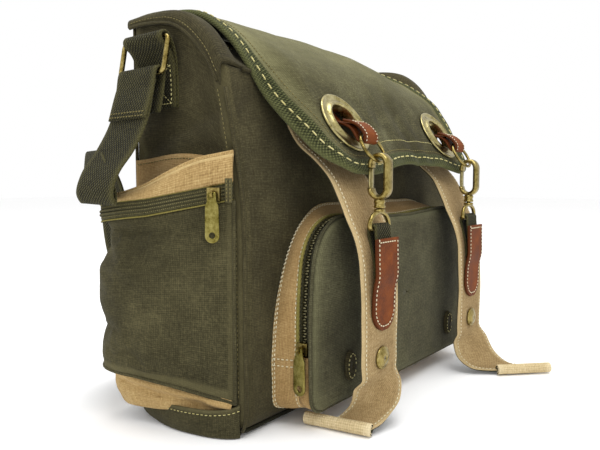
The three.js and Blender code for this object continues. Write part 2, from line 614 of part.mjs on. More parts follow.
function sidePocket(name, sign) {
  const lining = extrude([[-46, 170], [50, 170], [50, 202], [20, 199], [-20, 199], [-46, 203]], 1.6, ALONG_X,
    [sign < 0 ? -HALF_WIDTH - GAP - 1.6 : HALF_WIDTH + GAP, 0, 0]);
  add(`${name}_pocket_lining`, lining, TAN);
  add(`${name}_pocket_rim`, sideBand(sign, ZIP_HALF_HEIGHT + GAP, 22, 2.4), TAN);
  add(`${name}_pocket_zipper`, sideBand(sign, -ZIP_HALF_HEIGHT, ZIP_HALF_HEIGHT, 2.4), ZIP_TAPE);
  const pouch = [[40, 0.93], [56, 1.0], [100, 1.0], [132, 0.95], [null, 0.93]];
  add(`${name}_pocket_pouch`, sideLoft(sign, pouch, sidePlan()), CANVAS);
  add(`${name}_pocket_bellows`, sideLoft(sign, [[25, 0.62], [32, 0.8], [39.5, 0.86]], sidePlan()), TAN);
  add(`${name}_base_band`, sideLoft(sign, [[0.3, 0.92], [8, 1.0], [24.5, 0.94]], BASE_PLAN), CANVAS);

  // The straight run of the zipper carries the slider.
  const f = 0.2;
  const at = [sign * -THREE.MathUtils.lerp(SIDE_START[0], SIDE_BEND[0], f),
    THREE.MathUtils.lerp(SIDE_START[1], SIDE_BEND[1], f), THREE.MathUtils.lerp(ZIP_Z.start, ZIP_Z.bend, f)];
  const outAngle = Math.atan2(SIDE_BEND[0] - SIDE_START[0], sign * (SIDE_BEND[1] - SIDE_START[1]));
  add(`${name}_pocket_slider`, placed(zipSlider(), outAngle, at), BRASS);
  add(`${name}_pocket_pull`, placed(zipPull(), outAngle, at), BRASS);
}

// ---------------------------------------------------------------- shoulder strap and its rings
const RING_MID_Y = (RING_BACK_Y + RING_FRONT_Y) / 2;

function strapRing(sign) {
  const [tx, tz] = RING_TOP;
  const [lx, lz] = RING_LOW;
  const corner = 4;
  const height = Math.hypot(lx - tx, lz - tz);
  const down = vec((sign * (lx - tx)) / height, 0, (lz - tz) / height);
  const half = (RING_BACK_Y - RING_FRONT_Y) / 2 - RING_WIRE;
  const points = [];
  for (const [cy, cd, from] of [[half - corner, corner, 270], [half - corner, height - corner, 0],
    [corner - half, height - corner, 90], [corner - half, corner, 180]]) {
    for (const turn of [0, 30, 60, 90]) {
      const a = THREE.MathUtils.degToRad(from + turn);
      points.push(vec(sign * tx, RING_MID_Y + cy + corner * Math.cos(a), tz)
        .addScaledVector(down, cd + corner * Math.sin(a)));
    }
  }
  return wireLoop(points, vec(0, 1, 0).cross(down).normalize(), RING_WIRE, 10);
}

// Webbing sewn to the gusset, folded over the ring's upper bar.
function ringAnchor(sign) {
  const [tx, tz] = RING_TOP;
  const bend = RING_WIRE + 1 + WEB_THICKNESS / 2;
  const over = [150, 110, 70, 30, -10, -50].map((deg) => {
    const a = THREE.MathUtils.degToRad(deg);
    return [tx + bend * Math.cos(a), tz + bend * Math.sin(a)];
  });
  const fall = [[166.4, 238], [166.5, 262], [169.5, 280], ...over, [175, 279.6], [169.8, 270], [169.2, 256], [169, 240]];
  const route = fall.map(([x, z]) => [sign * x, RING_MID_Y, z, 0, 1, 0]);
  return ribbon(route, WEB_WIDTH - 1, WEB_THICKNESS, 44);
}

// From the ring's lower bar outwards, shared by both ends of the strap.
function barWrap(sign) {
  const [lx, lz] = RING_LOW;
  const bend = RING_WIRE + 1 + WEB_THICKNESS / 2;
  const over = [175, 135, 95, 55, 15].map((deg) => {
    const a = THREE.MathUtils.degToRad(deg);
    return [lx + bend * Math.cos(a), lz + bend * Math.sin(a)];
  });
  const fall = [[184.5, 232], [181, 246], ...over, [189.6, 247]];
  return fall.map(([x, z]) => [sign * x, RING_MID_Y, z, 0, 1, 0]);
}

const ADJUSTER_AT = vec(160, 91, 95);
const ADJUSTER_ALONG = vec(25, 0, 100).normalize();
const ADJUSTER_SIDE = [0, 1, 0];
const ADJUSTER_HALF_LENGTH = 14;
const LEFT_ROUTE = [[-195, 25, 226, 0, 1, 0], [-207, 25, 205, 0, 1, 0], [-219.5, 26, 188, 0, 1, 0],
  [-223.5, 27, 174, 0, 1, 0], [-220, 28, 167, 0.03, 1, 0], [-215.5, 32, 172, 0.08, 1, 0],
  [-211, 43, 192, 0.2, 0.98, 0], [-200, 62, 204, 0.3, 0.95, 0], [-184, 80, 203, 0.3, 0.95, 0],
  [-168, 90, 178, 0.15, 0.99, 0], [-154, 94, 120, 0, 1, 0], [-138, 97, 60, 0, 1, 0], [-112, 100, 20, 0, 1, 0],
  [-78, 102, 3.5, 0, 1, 0], [-40, 103, 1.4, 0, 1, 0], [20, 104, 1.4, 0, 1, 0], [72, 103, 2.4, 0, 1, 0],
  [118, 98, 18, 0, 1, 0], [144, 93, 48, 0, 1, 0]];
const RIGHT_ROUTE = [[197, 31, 236, 0, 1, 0], [203, 46, 222, -0.1, 0.99, 0], [199, 66, 205, -0.2, 0.98, 0],
  [188, 82, 180, -0.1, 0.99, 0], [174, 90, 145, 0, 1, 0]];

function shoulderStrap() {
  const end = (offset) => ADJUSTER_AT.clone().addScaledVector(ADJUSTER_ALONG, offset).toArray();
  const reach = ADJUSTER_HALF_LENGTH + GAP;
  const left = [...barWrap(-1), ...LEFT_ROUTE, [...end(-reach), ...ADJUSTER_SIDE]];
  const right = [...barWrap(1), ...RIGHT_ROUTE, [...end(reach), ...ADJUSTER_SIDE]];
  add('shoulder_strap_left', ribbon(left, WEB_WIDTH, WEB_THICKNESS, 96), WEBBING);
  add('shoulder_strap_right', ribbon(right, WEB_WIDTH, WEB_THICKNESS, 44), WEBBING);
}

// Three-bar slide in the strap's plane.
function adjuster() {
  const side = vec(...ADJUSTER_SIDE).normalize();
  const normal = side.clone().cross(ADJUSTER_ALONG).normalize();
  const half = 28;
  const window = (low, high) => rectangle(-half + 3, half - 3, low, high);
  return extrude(rectangle(-half, half, -ADJUSTER_HALF_LENGTH, ADJUSTER_HALF_LENGTH), 2.6,
    [side, ADJUSTER_ALONG, normal], ADJUSTER_AT.clone().addScaledVector(normal, -1.3).toArray(),
    [window(-11.4, -1.4), window(1.4, 11.4)]);
}

// ---------------------------------------------------------------- build
bodyPanels();
flapPanel();
flapBinding();
frontPocket();
const frontZipAt = [-POCKET_HALF_WIDTH, (POCKET_ZIP_BACK + POCKET_ZIP_FRONT) / 2, 62];
add('front_pocket_slider', placed(zipSlider(), Math.PI, frontZipAt), BRASS);
add('front_pocket_pull', placed(zipPull(), Math.PI, frontZipAt), BRASS);
shoulderStrap();
add('strap_adjuster', adjuster(), BRASS);

for (const [name, sign] of SIDES) {
  sidePocket(name, sign);
  add(`${name}_ring_anchor`, ringAnchor(sign), WEBBING);
  add(`${name}_strap_ring`, strapRing(sign), BRASS);
  add(`${name}_eyelet`, eyelet(sign * EYELET_X), BRASS);
  add(`${name}_leather_tab`, leatherTab(sign * EYELET_X), LEATHER);
  add(`${name}_tab_ring`, tabRing(sign * EYELET_X), BRASS);
  add(`${name}_closure_strap`, closureStrap(name, sign), TAN);
  add(`${name}_leather_patch`, leatherPatch(sign * HOOK_X), LEATHER);
  add(`${name}_hook_loop`, hookLoop(sign * HOOK_X), WEBBING);
  add(`${name}_hook_eye`, hookEye(sign * HOOK_X), BRASS);
  add(`${name}_hook_frame`, hookFrame(sign * HOOK_X), BRASS);
  add(`${name}_hook_gate`, hookGate(sign * HOOK_X), BRASS);
  add(`${name}_snap_cap`, snapCap(sign * STRAP_X, -124.3, SNAP_Z, 8.5, 3.2), BRASS);
  add(`${name}_snap_patch`, snapPatch(sign * 88), CANVAS);
}

export default bag;
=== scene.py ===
"""Looks of the canvas messenger bag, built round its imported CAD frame.

Helpers take millimetres in the row frame; meshes are stored in metres.
"""

import math

import bpy
import numpy as np
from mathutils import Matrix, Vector, noise


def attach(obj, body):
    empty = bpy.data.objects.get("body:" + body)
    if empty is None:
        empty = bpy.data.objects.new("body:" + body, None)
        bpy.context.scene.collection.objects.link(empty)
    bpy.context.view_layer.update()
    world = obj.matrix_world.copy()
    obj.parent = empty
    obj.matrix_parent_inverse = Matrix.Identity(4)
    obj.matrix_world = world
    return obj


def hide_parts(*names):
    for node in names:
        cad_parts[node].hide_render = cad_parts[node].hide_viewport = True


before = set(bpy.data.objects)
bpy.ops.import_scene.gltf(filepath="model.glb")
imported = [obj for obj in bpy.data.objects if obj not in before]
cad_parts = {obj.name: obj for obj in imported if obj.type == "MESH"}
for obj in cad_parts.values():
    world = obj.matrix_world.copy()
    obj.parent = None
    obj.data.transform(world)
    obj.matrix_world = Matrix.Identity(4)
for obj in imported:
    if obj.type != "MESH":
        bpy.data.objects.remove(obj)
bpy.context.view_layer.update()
MM = 0.001
SIDES = (("left", -1), ("right", 1))


# ---------------------------------------------------------------- camera
def add_camera():
    data = bpy.data.cameras.new("camera")
    data.sensor_width = 36
    data.lens = 35.5
    camera = bpy.data.objects.new("camera", data)
    bpy.context.scene.collection.objects.link(camera)
    camera.location = (-0.4605, -0.3422, 0.1827)
    look = Vector((0.7844, 0.6158, -0.0743))
    camera.rotation_euler = look.to_track_quat("-Z", "Y").to_euler()
    bpy.context.scene.camera = camera


add_camera()


# ---------------------------------------------------------------- materials
class Nodes:
    """Shorthand for a material's node tree."""

    def __init__(self, name):
        self.mat = bpy.data.materials.new(name)
        self.mat.use_nodes = True
        self.tree = self.mat.node_tree
        self.bsdf = self.tree.nodes["Principled BSDF"]

    def add(self, kind, values=None, **settings):
        node = self.tree.nodes.new(kind)
        for key, value in settings.items():
            setattr(node, key, value)
        for key, value in (values or {}).items():
            if isinstance(value, bpy.types.NodeSocket):
                self.tree.links.new(value, node.inputs[key])
            else:
                node.inputs[key].default_value = value
        return node

    def plus(self, a, b):
        return self.add("ShaderNodeMath", {0: a, 1: b}, operation="ADD").outputs[0]

    def times(self, a, b):
        return self.add("ShaderNodeMath", {0: a, 1: b}, operation="MULTIPLY").outputs[0]

    def noise(self, where, scale, detail=4.0, rough=0.6):
        node = self.add("ShaderNodeTexNoise", {"Vector": where, "Scale": scale, "Detail": detail,
                                               "Roughness": rough})
        return node.outputs["Fac"]

    def stretched(self, where, scale):
        return self.add("ShaderNodeMapping", {"Vector": where, "Scale": scale}).outputs[0]

    def mix(self, factor, a, b):
        node = self.add("ShaderNodeMix", data_type="RGBA")
        for socket, value in ((node.inputs[0], factor), (node.inputs[6], a), (node.inputs[7], b)):
            if isinstance(value, bpy.types.NodeSocket):
                self.tree.links.new(value, socket)
            else:
                socket.default_value = value
        return node.outputs[2]

    def ramp(self, factor, stops):
        node = self.add("ShaderNodeValToRGB", {"Fac": factor})
        ramp = node.color_ramp
        while len(ramp.elements) < len(stops):
            ramp.elements.new(0.5)
        for element, (place, colour) in zip(ramp.elements, stops):
            element.position = place
            element.color = colour
        return node.outputs[0]

    def bump(self, height, distance, strength):
        node = self.add("ShaderNodeBump", {"Height": height, "Distance": distance, "Strength": strength})
        self.tree.links.new(node.outputs[0], self.bsdf.inputs["Normal"])

    def wear_and_light(self):
        return self.add("ShaderNodeAttribute", attribute_name="wear_and_light").outputs["Fac"]

    def finish(self, colour, rough, **constants):
        self.tree.links.new(colour, self.bsdf.inputs["Base Color"])
        if isinstance(rough, bpy.types.NodeSocket):
            self.tree.links.new(rough, self.bsdf.inputs["Roughness"])
        else:
            self.bsdf.inputs["Roughness"].default_value = rough
        for key, value in constants.items():
            self.bsdf.inputs[key.replace("_", " ")].default_value = value
        return self.mat


def srgb(*channels):
    """8-bit sRGB to the linear colour of a socket."""
    parts = [c / 255 for c in channels]
    return (*[c / 12.92 if c <= 0.04045 else ((c + 0.055) / 1.055) ** 2.4 for c in parts], 1.0)


def wave(n, where, axis, pitch):
    """Threads along one axis, pitch in metres."""
    node = n.add("ShaderNodeTexWave", {"Vector": where, "Scale": 0.314 / pitch, "Distortion": 0.6,
                                       "Detail": 1.0, "Detail Scale": 2.0}, wave_type="BANDS",
                 bands_direction=axis)
    return node.outputs["Fac"]


def fabric(name, dark, mid, light, pitch=0.0013, relief=0.00035, cloud=0.9, heather=0.8, contrast=0.3,
           diagonal=False):
    """Woven cloth on UVs in metres: faded clouds, uneven threads, weave in relief, worn edges and, on the
    flap's top, a painted highlight.
    """
    n = Nodes(name)
    where = n.add("ShaderNodeUVMap").outputs[0]
    threads = where
    if diagonal:
        threads = n.add("ShaderNodeMapping", {"Vector": where,
                                              "Rotation": (0, 0, math.radians(38))}).outputs[0]
    weave = n.times(n.plus(wave(n, threads, "X", pitch), wave(n, threads, "Y", pitch)), 0.5)
    slub_u = n.noise(n.stretched(where, (60, 1400, 1)), 1.0, 2.0)
    slub_v = n.noise(n.stretched(where, (1400, 60, 1)), 1.0, 2.0)
    slub = n.times(n.plus(slub_u, slub_v), 0.5)
    clouds = n.noise(where, 16.0, 7.0, 0.68)
    specks = n.noise(where, 520.0, 3.0, 0.7)
    tone = 0.5
    for layer, amount in ((clouds, cloud), (specks, heather), (slub, heather * 1.05), (weave, contrast)):
        tone = n.plus(n.times(n.plus(layer, -0.5), amount), tone)
    colour = n.ramp(tone, ((0.08, srgb(*dark)), (0.5, srgb(*mid)), (0.95, srgb(*light))))
    # Where the per-point attribute is set the cloth turns towards its light colour: edge wear, and on the
    # flap's top a painted highlight.
    rubbed_and_lit = n.times(n.wear_and_light(), n.plus(n.noise(where, 90.0, 5.0), 0.25))
    colour = n.mix(rubbed_and_lit, colour, srgb(*light))
    n.bump(n.plus(weave, n.times(slub, 0.9)), relief, 0.75)
    return n.finish(colour, 0.92, Sheen_Weight=0.04, Sheen_Roughness=0.4, Specular_IOR_Level=0.12)


def leather(name, dark, mid, light):
    n = Nodes(name)
    where = n.add("ShaderNodeUVMap").outputs[0]
    voronoi = n.add("ShaderNodeTexVoronoi", {"Vector": where, "Scale": 900.0}, feature="F1")
    clouds = n.noise(where, 55.0, 6.0, 0.62)
    fine = n.noise(where, 700.0, 4.0, 0.7)
    tone = n.plus(n.times(clouds, 0.75), n.times(fine, 0.3))
    colour = n.ramp(tone, ((0.28, srgb(*dark)), (0.52, srgb(*mid)), (0.78, srgb(*light))))
    colour = n.mix(n.times(n.wear_and_light(), 0.75), colour, srgb(*dark))
    n.bump(n.plus(n.times(voronoi.outputs["Distance"], 0.6), n.times(clouds, 1.2)), 0.0003, 0.55)
    return n.finish(colour, n.plus(0.42, n.times(clouds, 0.3)), Specular_IOR_Level=0.1)


def metal(name, dark, mid, light):
    n = Nodes(name)
    where = n.add("ShaderNodeTexCoord").outputs["Object"]
    patina = n.noise(where, 120.0, 6.0, 0.7)
    grime = n.noise(where, 480.0, 4.0, 0.7)
    tone = n.plus(n.times(patina, 0.7), n.times(grime, 0.35))
    colour = n.ramp(tone, ((0.30, srgb(*dark)), (0.46, srgb(*mid)), (0.74, srgb(*light))))
    scratches = n.noise(n.stretched(where, (300, 2500, 900)), 1.0, 3.0)
    n.bump(n.plus(scratches, grime), 0.00004, 0.4)
    return n.finish(colour, n.plus(0.14, n.times(patina, 0.34)), Metallic=1.0)


CANVAS = fabric("body_canvas", (34, 31, 18), (60, 55, 36), (94, 88, 60), cloud=1.15)
POUCH = fabric("pocket_canvas", (38, 35, 21), (64, 60, 40), (99, 93, 64), cloud=1.25)
PAD = fabric("front_pocket_canvas", (42, 40, 26), (70, 67, 48), (106, 104, 76), cloud=1.1)
FLAP = fabric("flap_canvas", (34, 31, 16), (59, 55, 33), (124, 121, 86), cloud=1.0)
LINING = fabric("dark_lining", (22, 22, 14), (38, 38, 26), (60, 60, 42))
TAN = fabric("tan_canvas", (112, 86, 50), (156, 127, 82), (200, 172, 122), pitch=0.0012, heather=0.7)
RIM = fabric("bright_tan_canvas", (122, 96, 58), (168, 140, 92), (208, 184, 132), pitch=0.0012)
STRAP = fabric("tan_strap_canvas", (108, 86, 54), (152, 128, 88), (198, 176, 132), pitch=0.0015,
               relief=0.0005, diagonal=True)
# Strap canvas painted paler for the rolled ends: a painted highlight where light falls on the rolls.
LIT_ROLL_CANVAS = fabric("painted_lit_roll_canvas", (150, 130, 92), (196, 176, 134), (226, 210, 172), pitch=0.0017,
             relief=0.0006)
WEBBING = fabric("olive_webbing", (12, 12, 5), (38, 36, 20), (80, 76, 46), pitch=0.0021, relief=0.0009,
                 contrast=0.9, diagonal=True, cloud=0.6)
BINDING = fabric("flap_binding_tape", (24, 26, 13), (50, 53, 30), (100, 102, 64), pitch=0.0019,
                 relief=0.0007, contrast=0.7, diagonal=True, cloud=0.8)
TAPE = fabric("zipper_tape", (24, 24, 14), (50, 48, 32), (78, 75, 54), pitch=0.0011, contrast=0.4)
SIDE_TAPE = fabric("side_zipper_tape", (38, 37, 22), (68, 65, 44), (100, 96, 66), pitch=0.0011,
                   contrast=0.5)
EDGE_TAPE = fabric("yellow_green_tape", (84, 76, 36), (122, 113, 58), (154, 144, 82), pitch=0.001)
LEATHER = leather("brown_leather", (50, 22, 7), (104, 51, 15), (138, 74, 26))
BRASS = metal("antique_brass", (84, 74, 40), (150, 138, 88), (196, 186, 140))
DARK_BRASS = metal("dark_antique_brass", (56, 47, 22), (128, 112, 60), (178, 162, 106))
OLD_BRASS = metal("old_olive_brass", (58, 52, 20), (112, 102, 48), (158, 148, 88))
TEETH = metal("zipper_teeth", (36, 33, 22), (84, 79, 56), (136, 130, 100))
CREAM = fabric("cream_thread", (186, 176, 138), (222, 213, 180), (244, 238, 216), pitch=0.0006)
YELLOW = fabric("yellow_thread", (158, 148, 88), (198, 188, 128), (226, 218, 170), pitch=0.0006)
OLIVE = fabric("olive_thread", (88, 78, 44), (122, 112, 70), (150, 140, 96), pitch=0.0006)


# ---------------------------------------------------------------- curves
def crom(points, count):
    """Centripetal Catmull-Rom spline through points, sampled count + 1 times."""
    rows = [np.array(p, float) for p in points]
    rows = [2 * rows[0] - rows[1]] + rows + [2 * rows[-1] - rows[-2]]
    segments = len(rows) - 3
    out = []
    for i in range(count + 1):
        place = segments * i / count
        k = min(int(place), segments - 1)
        w = place - k
        a, b, c, d = rows[k:k + 4]
        ab, bc, cd = [max(np.linalg.norm(q - p) ** 0.5, 1e-4) for p, q in ((a, b), (b, c), (c, d))]
        t1 = ((b - a) / ab - (c - a) / (ab + bc) + (c - b) / bc) * bc
        t2 = ((c - b) / bc - (d - b) / (bc + cd) + (d - c) / cd) * bc
        out.append(b + t1 * w + (3 * (c - b) - 2 * t1 - t2) * w * w + (t1 + t2 - 2 * (c - b)) * w ** 3)
    return np.array(out)


def lengths(points):
    return np.concatenate([[0], np.cumsum(np.linalg.norm(np.diff(points, axis=0), axis=1))])


def vec(*parts):
    return np.array(parts, float)


def xyz(x, y, z):
    """Points from coordinates that are numbers or rows of equal length."""
    return np.stack(np.broadcast_arrays(np.asarray(x, float), y, z), -1)


def sheet_of(count, row):
    """Points [rows, columns] of a sheet: row(v) gives one row for v from 0 to 1."""
    return np.array([row(v) for v in np.linspace(0, 1, count)])


def gauss(x, width):
    return np.exp(-(x / width) ** 2)


def resample(points, count):
    s = lengths(points)
    return np.stack([np.interp(np.linspace(0, s[-1], count + 1), s, points[:, k])
                     for k in range(points.shape[1])], 1)


def pick(values, s, place):
    """Rows of values, given at the lengths s, read at place."""
    return np.array([np.interp(place, s, column) for column in values.T])


def unit(v):
    return v / np.maximum(np.linalg.norm(v, axis=-1, keepdims=True), 1e-9)


def tangents(points, closed=False):
    if closed:
        return unit(np.roll(points, -1, 0) - np.roll(points, 1, 0))
    return unit(np.gradient(points, axis=0))


def wobble(points, scale, seed=0.0):
    flat = points.reshape(-1, 3) * scale
    values = [noise.noise(Vector((p[0] + seed, p[1] - seed, p[2] + 0.37 * seed))) for p in flat]
    return np.array(values).reshape(points.shape[:-1])


def smooth(x, low, high):
    f = np.clip((x - low) / (high - low), 0, 1)
    return f * f * (3 - 2 * f)


# ---------------------------------------------------------------- meshes
def make(name, verts, faces, uvs, body, mats, replaced=(), wear_and_light=None, face_mats=None, flat_from=None,
         slot=None):
    """One piece. uvs holds a (u, v) in millimetres for each corner of each face."""
    mesh = bpy.data.meshes.new(name)
    mesh.from_pydata((np.asarray(verts, float).reshape(-1, 3) * MM).tolist(), [],
                     [list(map(int, f)) for f in faces])
    layer = mesh.uv_layers.new(name="UVMap")
    layer.data.foreach_set("uv", (np.asarray(uvs, float).reshape(-1) * MM).tolist())
    # Per-point attribute: edge wear on all pieces, and on the flap's top a painted highlight.
    worn = mesh.attributes.new("wear_and_light", "FLOAT", "POINT")
    values = np.zeros(len(mesh.vertices)) if wear_and_light is None else np.asarray(wear_and_light, float).reshape(-1)
    worn.data.foreach_set("value", values.tolist())
    for mat in mats:
        mesh.materials.append(mat)
    smooth_flags = [True] * len(faces)
    if flat_from is not None:
        smooth_flags[flat_from:] = [False] * (len(faces) - flat_from)
    mesh.polygons.foreach_set("use_smooth", smooth_flags)
    if face_mats is not None:
        mesh.polygons.foreach_set("material_index", face_mats)
    mesh.update()
    piece = bpy.data.objects.new(name, mesh)
    bpy.context.scene.collection.objects.link(piece)
    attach(piece, body)
    if replaced:
        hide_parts(*((replaced,) if isinstance(replaced, str) else replaced))
    return piece


def down_rows(values, P):
    """Wear that differs from row to row of a sheet."""
    return np.tile(np.array(values, float)[:, None], (1, P.shape[1]))


def grid_normals(P, closed):
    if closed:
        across = np.roll(P, -1, 1) - np.roll(P, 1, 1)
    else:
        across = np.gradient(P, axis=1)
    return unit(np.cross(across, np.gradient(P, axis=0)))


def faces_away(P, closed, at, direction):
    """True when the sheet's normal at one of its points looks against the direction."""
    return grid_normals(P, closed)[at] @ vec(*direction) < 0


def grid(name, P, body, mats, thickness, flip=False, closed=False, skip=None, wear_and_light=None, **extra):
    """A cloth sheet from a grid of outer points [rows, columns]; its back lies thickness behind."""
    rows, cols = P.shape[:2]
    normals = grid_normals(P, closed) * (-1 if flip else 1)
    back = P - normals * thickness
    u = np.concatenate([[0], np.cumsum(np.linalg.norm(np.diff(P, axis=1), axis=2).mean(0))])
    if closed:
        u = np.append(u, u[-1] + np.linalg.norm(P[:, 0] - P[:, -1], axis=1).mean())
    v = np.concatenate([[0], np.cumsum(np.linalg.norm(np.diff(P, axis=0), axis=2).mean(1))])
    faces, uvs = [], []
    for i in range(rows - 1):
        for j in range(cols if closed else cols - 1):
            if skip is not None and skip[i, j]:
                continue
            k = (j + 1) % cols
            corners = [(i * cols + j, (u[j], v[i])), (i * cols + k, (u[j + 1], v[i])),
                       ((i + 1) * cols + k, (u[j + 1], v[i + 1])), ((i + 1) * cols + j, (u[j], v[i + 1]))]
            if flip:
                corners.reverse()
            faces.append([c[0] for c in corners])
            uvs.append([c[1] for c in corners])
    directed = {}
    for face, uv in zip(faces, uvs):
        for a in range(4):
            directed[(face[a], face[(a + 1) % 4])] = (uv[a], uv[(a + 1) % 4])
    shift = rows * cols
    backs = [[x + shift for x in reversed(face)] for face in faces]
    back_uvs = [list(reversed(uv)) for uv in uvs]
    rims, rim_uvs = [], []
    for (a, b), (ua, ub) in directed.items():
        if (b, a) not in directed:
            rims.append([b, a, a + shift, b + shift])
            rim_uvs.append([ub, ua, ua, ub])
    verts = np.concatenate([P.reshape(-1, 3), back.reshape(-1, 3)])
    marks = [0] * len(faces) + [min(1, len(mats) - 1)] * len(backs) + [0] * len(rims)
    worn = None if wear_and_light is None else np.tile(np.asarray(wear_and_light).reshape(-1), 2)
    used = sorted({x for face in faces + backs for x in face})
    renumber = {old: new for new, old in enumerate(used)}
    all_faces = [[renumber[x] for x in face] for face in faces + backs + rims]
    return make(name, verts[used], all_faces, [c for uv in uvs + back_uvs + rim_uvs for c in uv], body,
                mats, wear_and_light=None if worn is None else worn[used], face_mats=marks,
                flat_from=len(faces) + len(backs), **extra)


def tunnel(name, rings, body, mats, closed=False, mark=None, wear_and_light=None, **extra):
    """Skins a row of equal rings [stations, around]; the ends are capped unless the row is closed."""
    rings = np.asarray(rings, float)
    count, around = rings.shape[:2]
    s = np.concatenate([[0], np.cumsum(np.linalg.norm(np.diff(rings, axis=0), axis=2).mean(1))])
    s = np.append(s, s[-1] + np.linalg.norm(rings[0] - rings[-1], axis=1).mean())
    middle = rings[count // 2]
    u = np.concatenate([[0], np.cumsum(np.linalg.norm(np.roll(middle, -1, 0) - middle, axis=1))])
    centre = rings.mean(axis=1)
    along = centre[1] - centre[0]
    turn = np.cross(rings[0][1] - centre[0], rings[0][2] - centre[0])
    flip = np.dot(turn, along) < 0
    faces, uvs, marks = [], [], []
    for i in range(count if closed else count - 1):
        k = (i + 1) % count
        for j in range(around):
            m = (j + 1) % around
            corners = [(i * around + j, (u[j], s[i])), (i * around + m, (u[j + 1], s[i])),
                       (k * around + m, (u[j + 1], s[i + 1])), (k * around + j, (u[j], s[i + 1]))]
            if flip:
                corners.reverse()
            faces.append([c[0] for c in corners])
            uvs.extend(c[1] for c in corners)
            marks.append(0 if mark is None else mark[j])
    if not closed:
        first = list(range(around))
        last = [(count - 1) * around + j for j in range(around)]
        for cap, reverse in ((first, not flip), (last, flip)):
            ids = list(reversed(cap)) if reverse else cap
            faces.append(ids)
            uvs.extend((u[x % around], s[x // around]) for x in ids)
            marks.append(0)
    worn = None if wear_and_light is None else np.asarray(wear_and_light)
    return make(name, rings, faces, uvs, body, mats, face_mats=marks, wear_and_light=worn, **extra)


def tube(name, points, radius, body, mat, closed=False, sides=14, **extra):
    """Round wire or piping along points; radius is one number or one per point."""
    points = np.asarray(points, float)
    along = tangents(points, closed)
    side = np.zeros_like(points)
    start = vec(0.0, 0.0, 1.0) if abs(along[0][2]) < 0.8 else vec(1.0, 0.0, 0.0)
    side[0] = unit(np.cross(along[0], start))
    for i in range(1, len(points)):
        side[i] = unit(side[i - 1] - along[i] * np.dot(side[i - 1], along[i]))
    up = np.cross(along, side)
    if closed:
        side_end = unit(side[-1] - along[0] * np.dot(side[-1], along[0]))
        twist = math.atan2(np.dot(side_end, up[0]), np.dot(side_end, side[0]))
        for i in range(len(points)):
            a = -twist * i / len(points)
            old = side[i].copy()
            side[i] = old * math.cos(a) + up[i] * math.sin(a)
            up[i] = up[i] * math.cos(a) - old * math.sin(a)
    radius = np.broadcast_to(np.asarray(radius, float), (len(points),))
    angle = np.arange(sides) * 2 * math.pi / sides
    rings = points[:, None] + radius[:, None, None] * (np.cos(angle)[None, :, None] * side[:, None]
                                                       + np.sin(angle)[None, :, None] * up[:, None])
    return tunnel(name, rings, body, [mat], closed=closed, **extra)


def lathe(name, profile, centre, axis, body, mat, sides=72, **extra):
    """Turns (radius, height) about axis; the profile closes on itself."""
    axis = unit(np.array(axis, float))
    other = vec(1.0, 0.0, 0.0) if abs(axis[0]) < 0.9 else vec(0.0, 1.0, 0.0)
    a = unit(np.cross(axis, other))
    b = np.cross(axis, a)
    rings = []
    for i in range(sides):
        t = 2 * math.pi * i / sides
        rings.append([np.array(centre) + r * (math.cos(t) * a + math.sin(t) * b) + h * axis for r,
                      h in profile])
    return tunnel(name, rings, body, [mat], closed=True, **extra)


def stations(route, count):
    """Centres, width and up directions of a strap; route rows are x, y, z and a width direction."""
    at = crom([r[:3] for r in route], count)
    side = unit(crom([r[3:] for r in route], count))
    along = tangents(at)
    up = unit(np.cross(along, side))
    return at, side, up


def strap_section(half, thick, columns=9):
    """Flat section with rounded edges, front first: (across, height)."""
    t = thick / 2
    inner = half - t
    front = [(-half, 0), (-half + 0.3 * t, 0.7 * t)] + [(x, t) for x in np.linspace(-inner, inner, columns)]
    front += [(half - 0.3 * t, 0.7 * t), (half, 0)]
    rear = [(x, -h) for x, h in reversed(front[1:-1])]
    return front + rear, len(front) - 1


def strap(name, route, width, thick, count, body, mats, ripple=0.0, seed=0.0, narrow=None, **extra):
    at, side, up = stations(route, count)
    section, fronts = strap_section(width / 2, thick)
    u = np.array([p[0] for p in section])
    h = np.array([p[1] for p in section])
    scale = np.ones(len(at)) if narrow is None else narrow
    rings = at[:, None] + side[:, None] * (u[None, :, None] * scale[:, None, None]) + up[:, None] * h[None,
                                                                                                      :,
                                                                                                      None]
    if ripple:
        drift = wobble(at[:, None] + side[:, None] * u[None, :, None] * 0.8, 0.035, seed) * ripple
        rings = rings + up[:, None] * drift[..., None]
    mark = [0 if j < fronts else len(mats) - 1 for j in range(len(section))]
    worn = np.tile((np.abs(u) > width / 2 - 2.5) * 0.8, len(at))
    tunnel(name, rings, body, mats, mark=mark, wear_and_light=worn, **extra)
    return at, side, up


SETTLE_FRAMES = 24
SEWN_ROWS = 3


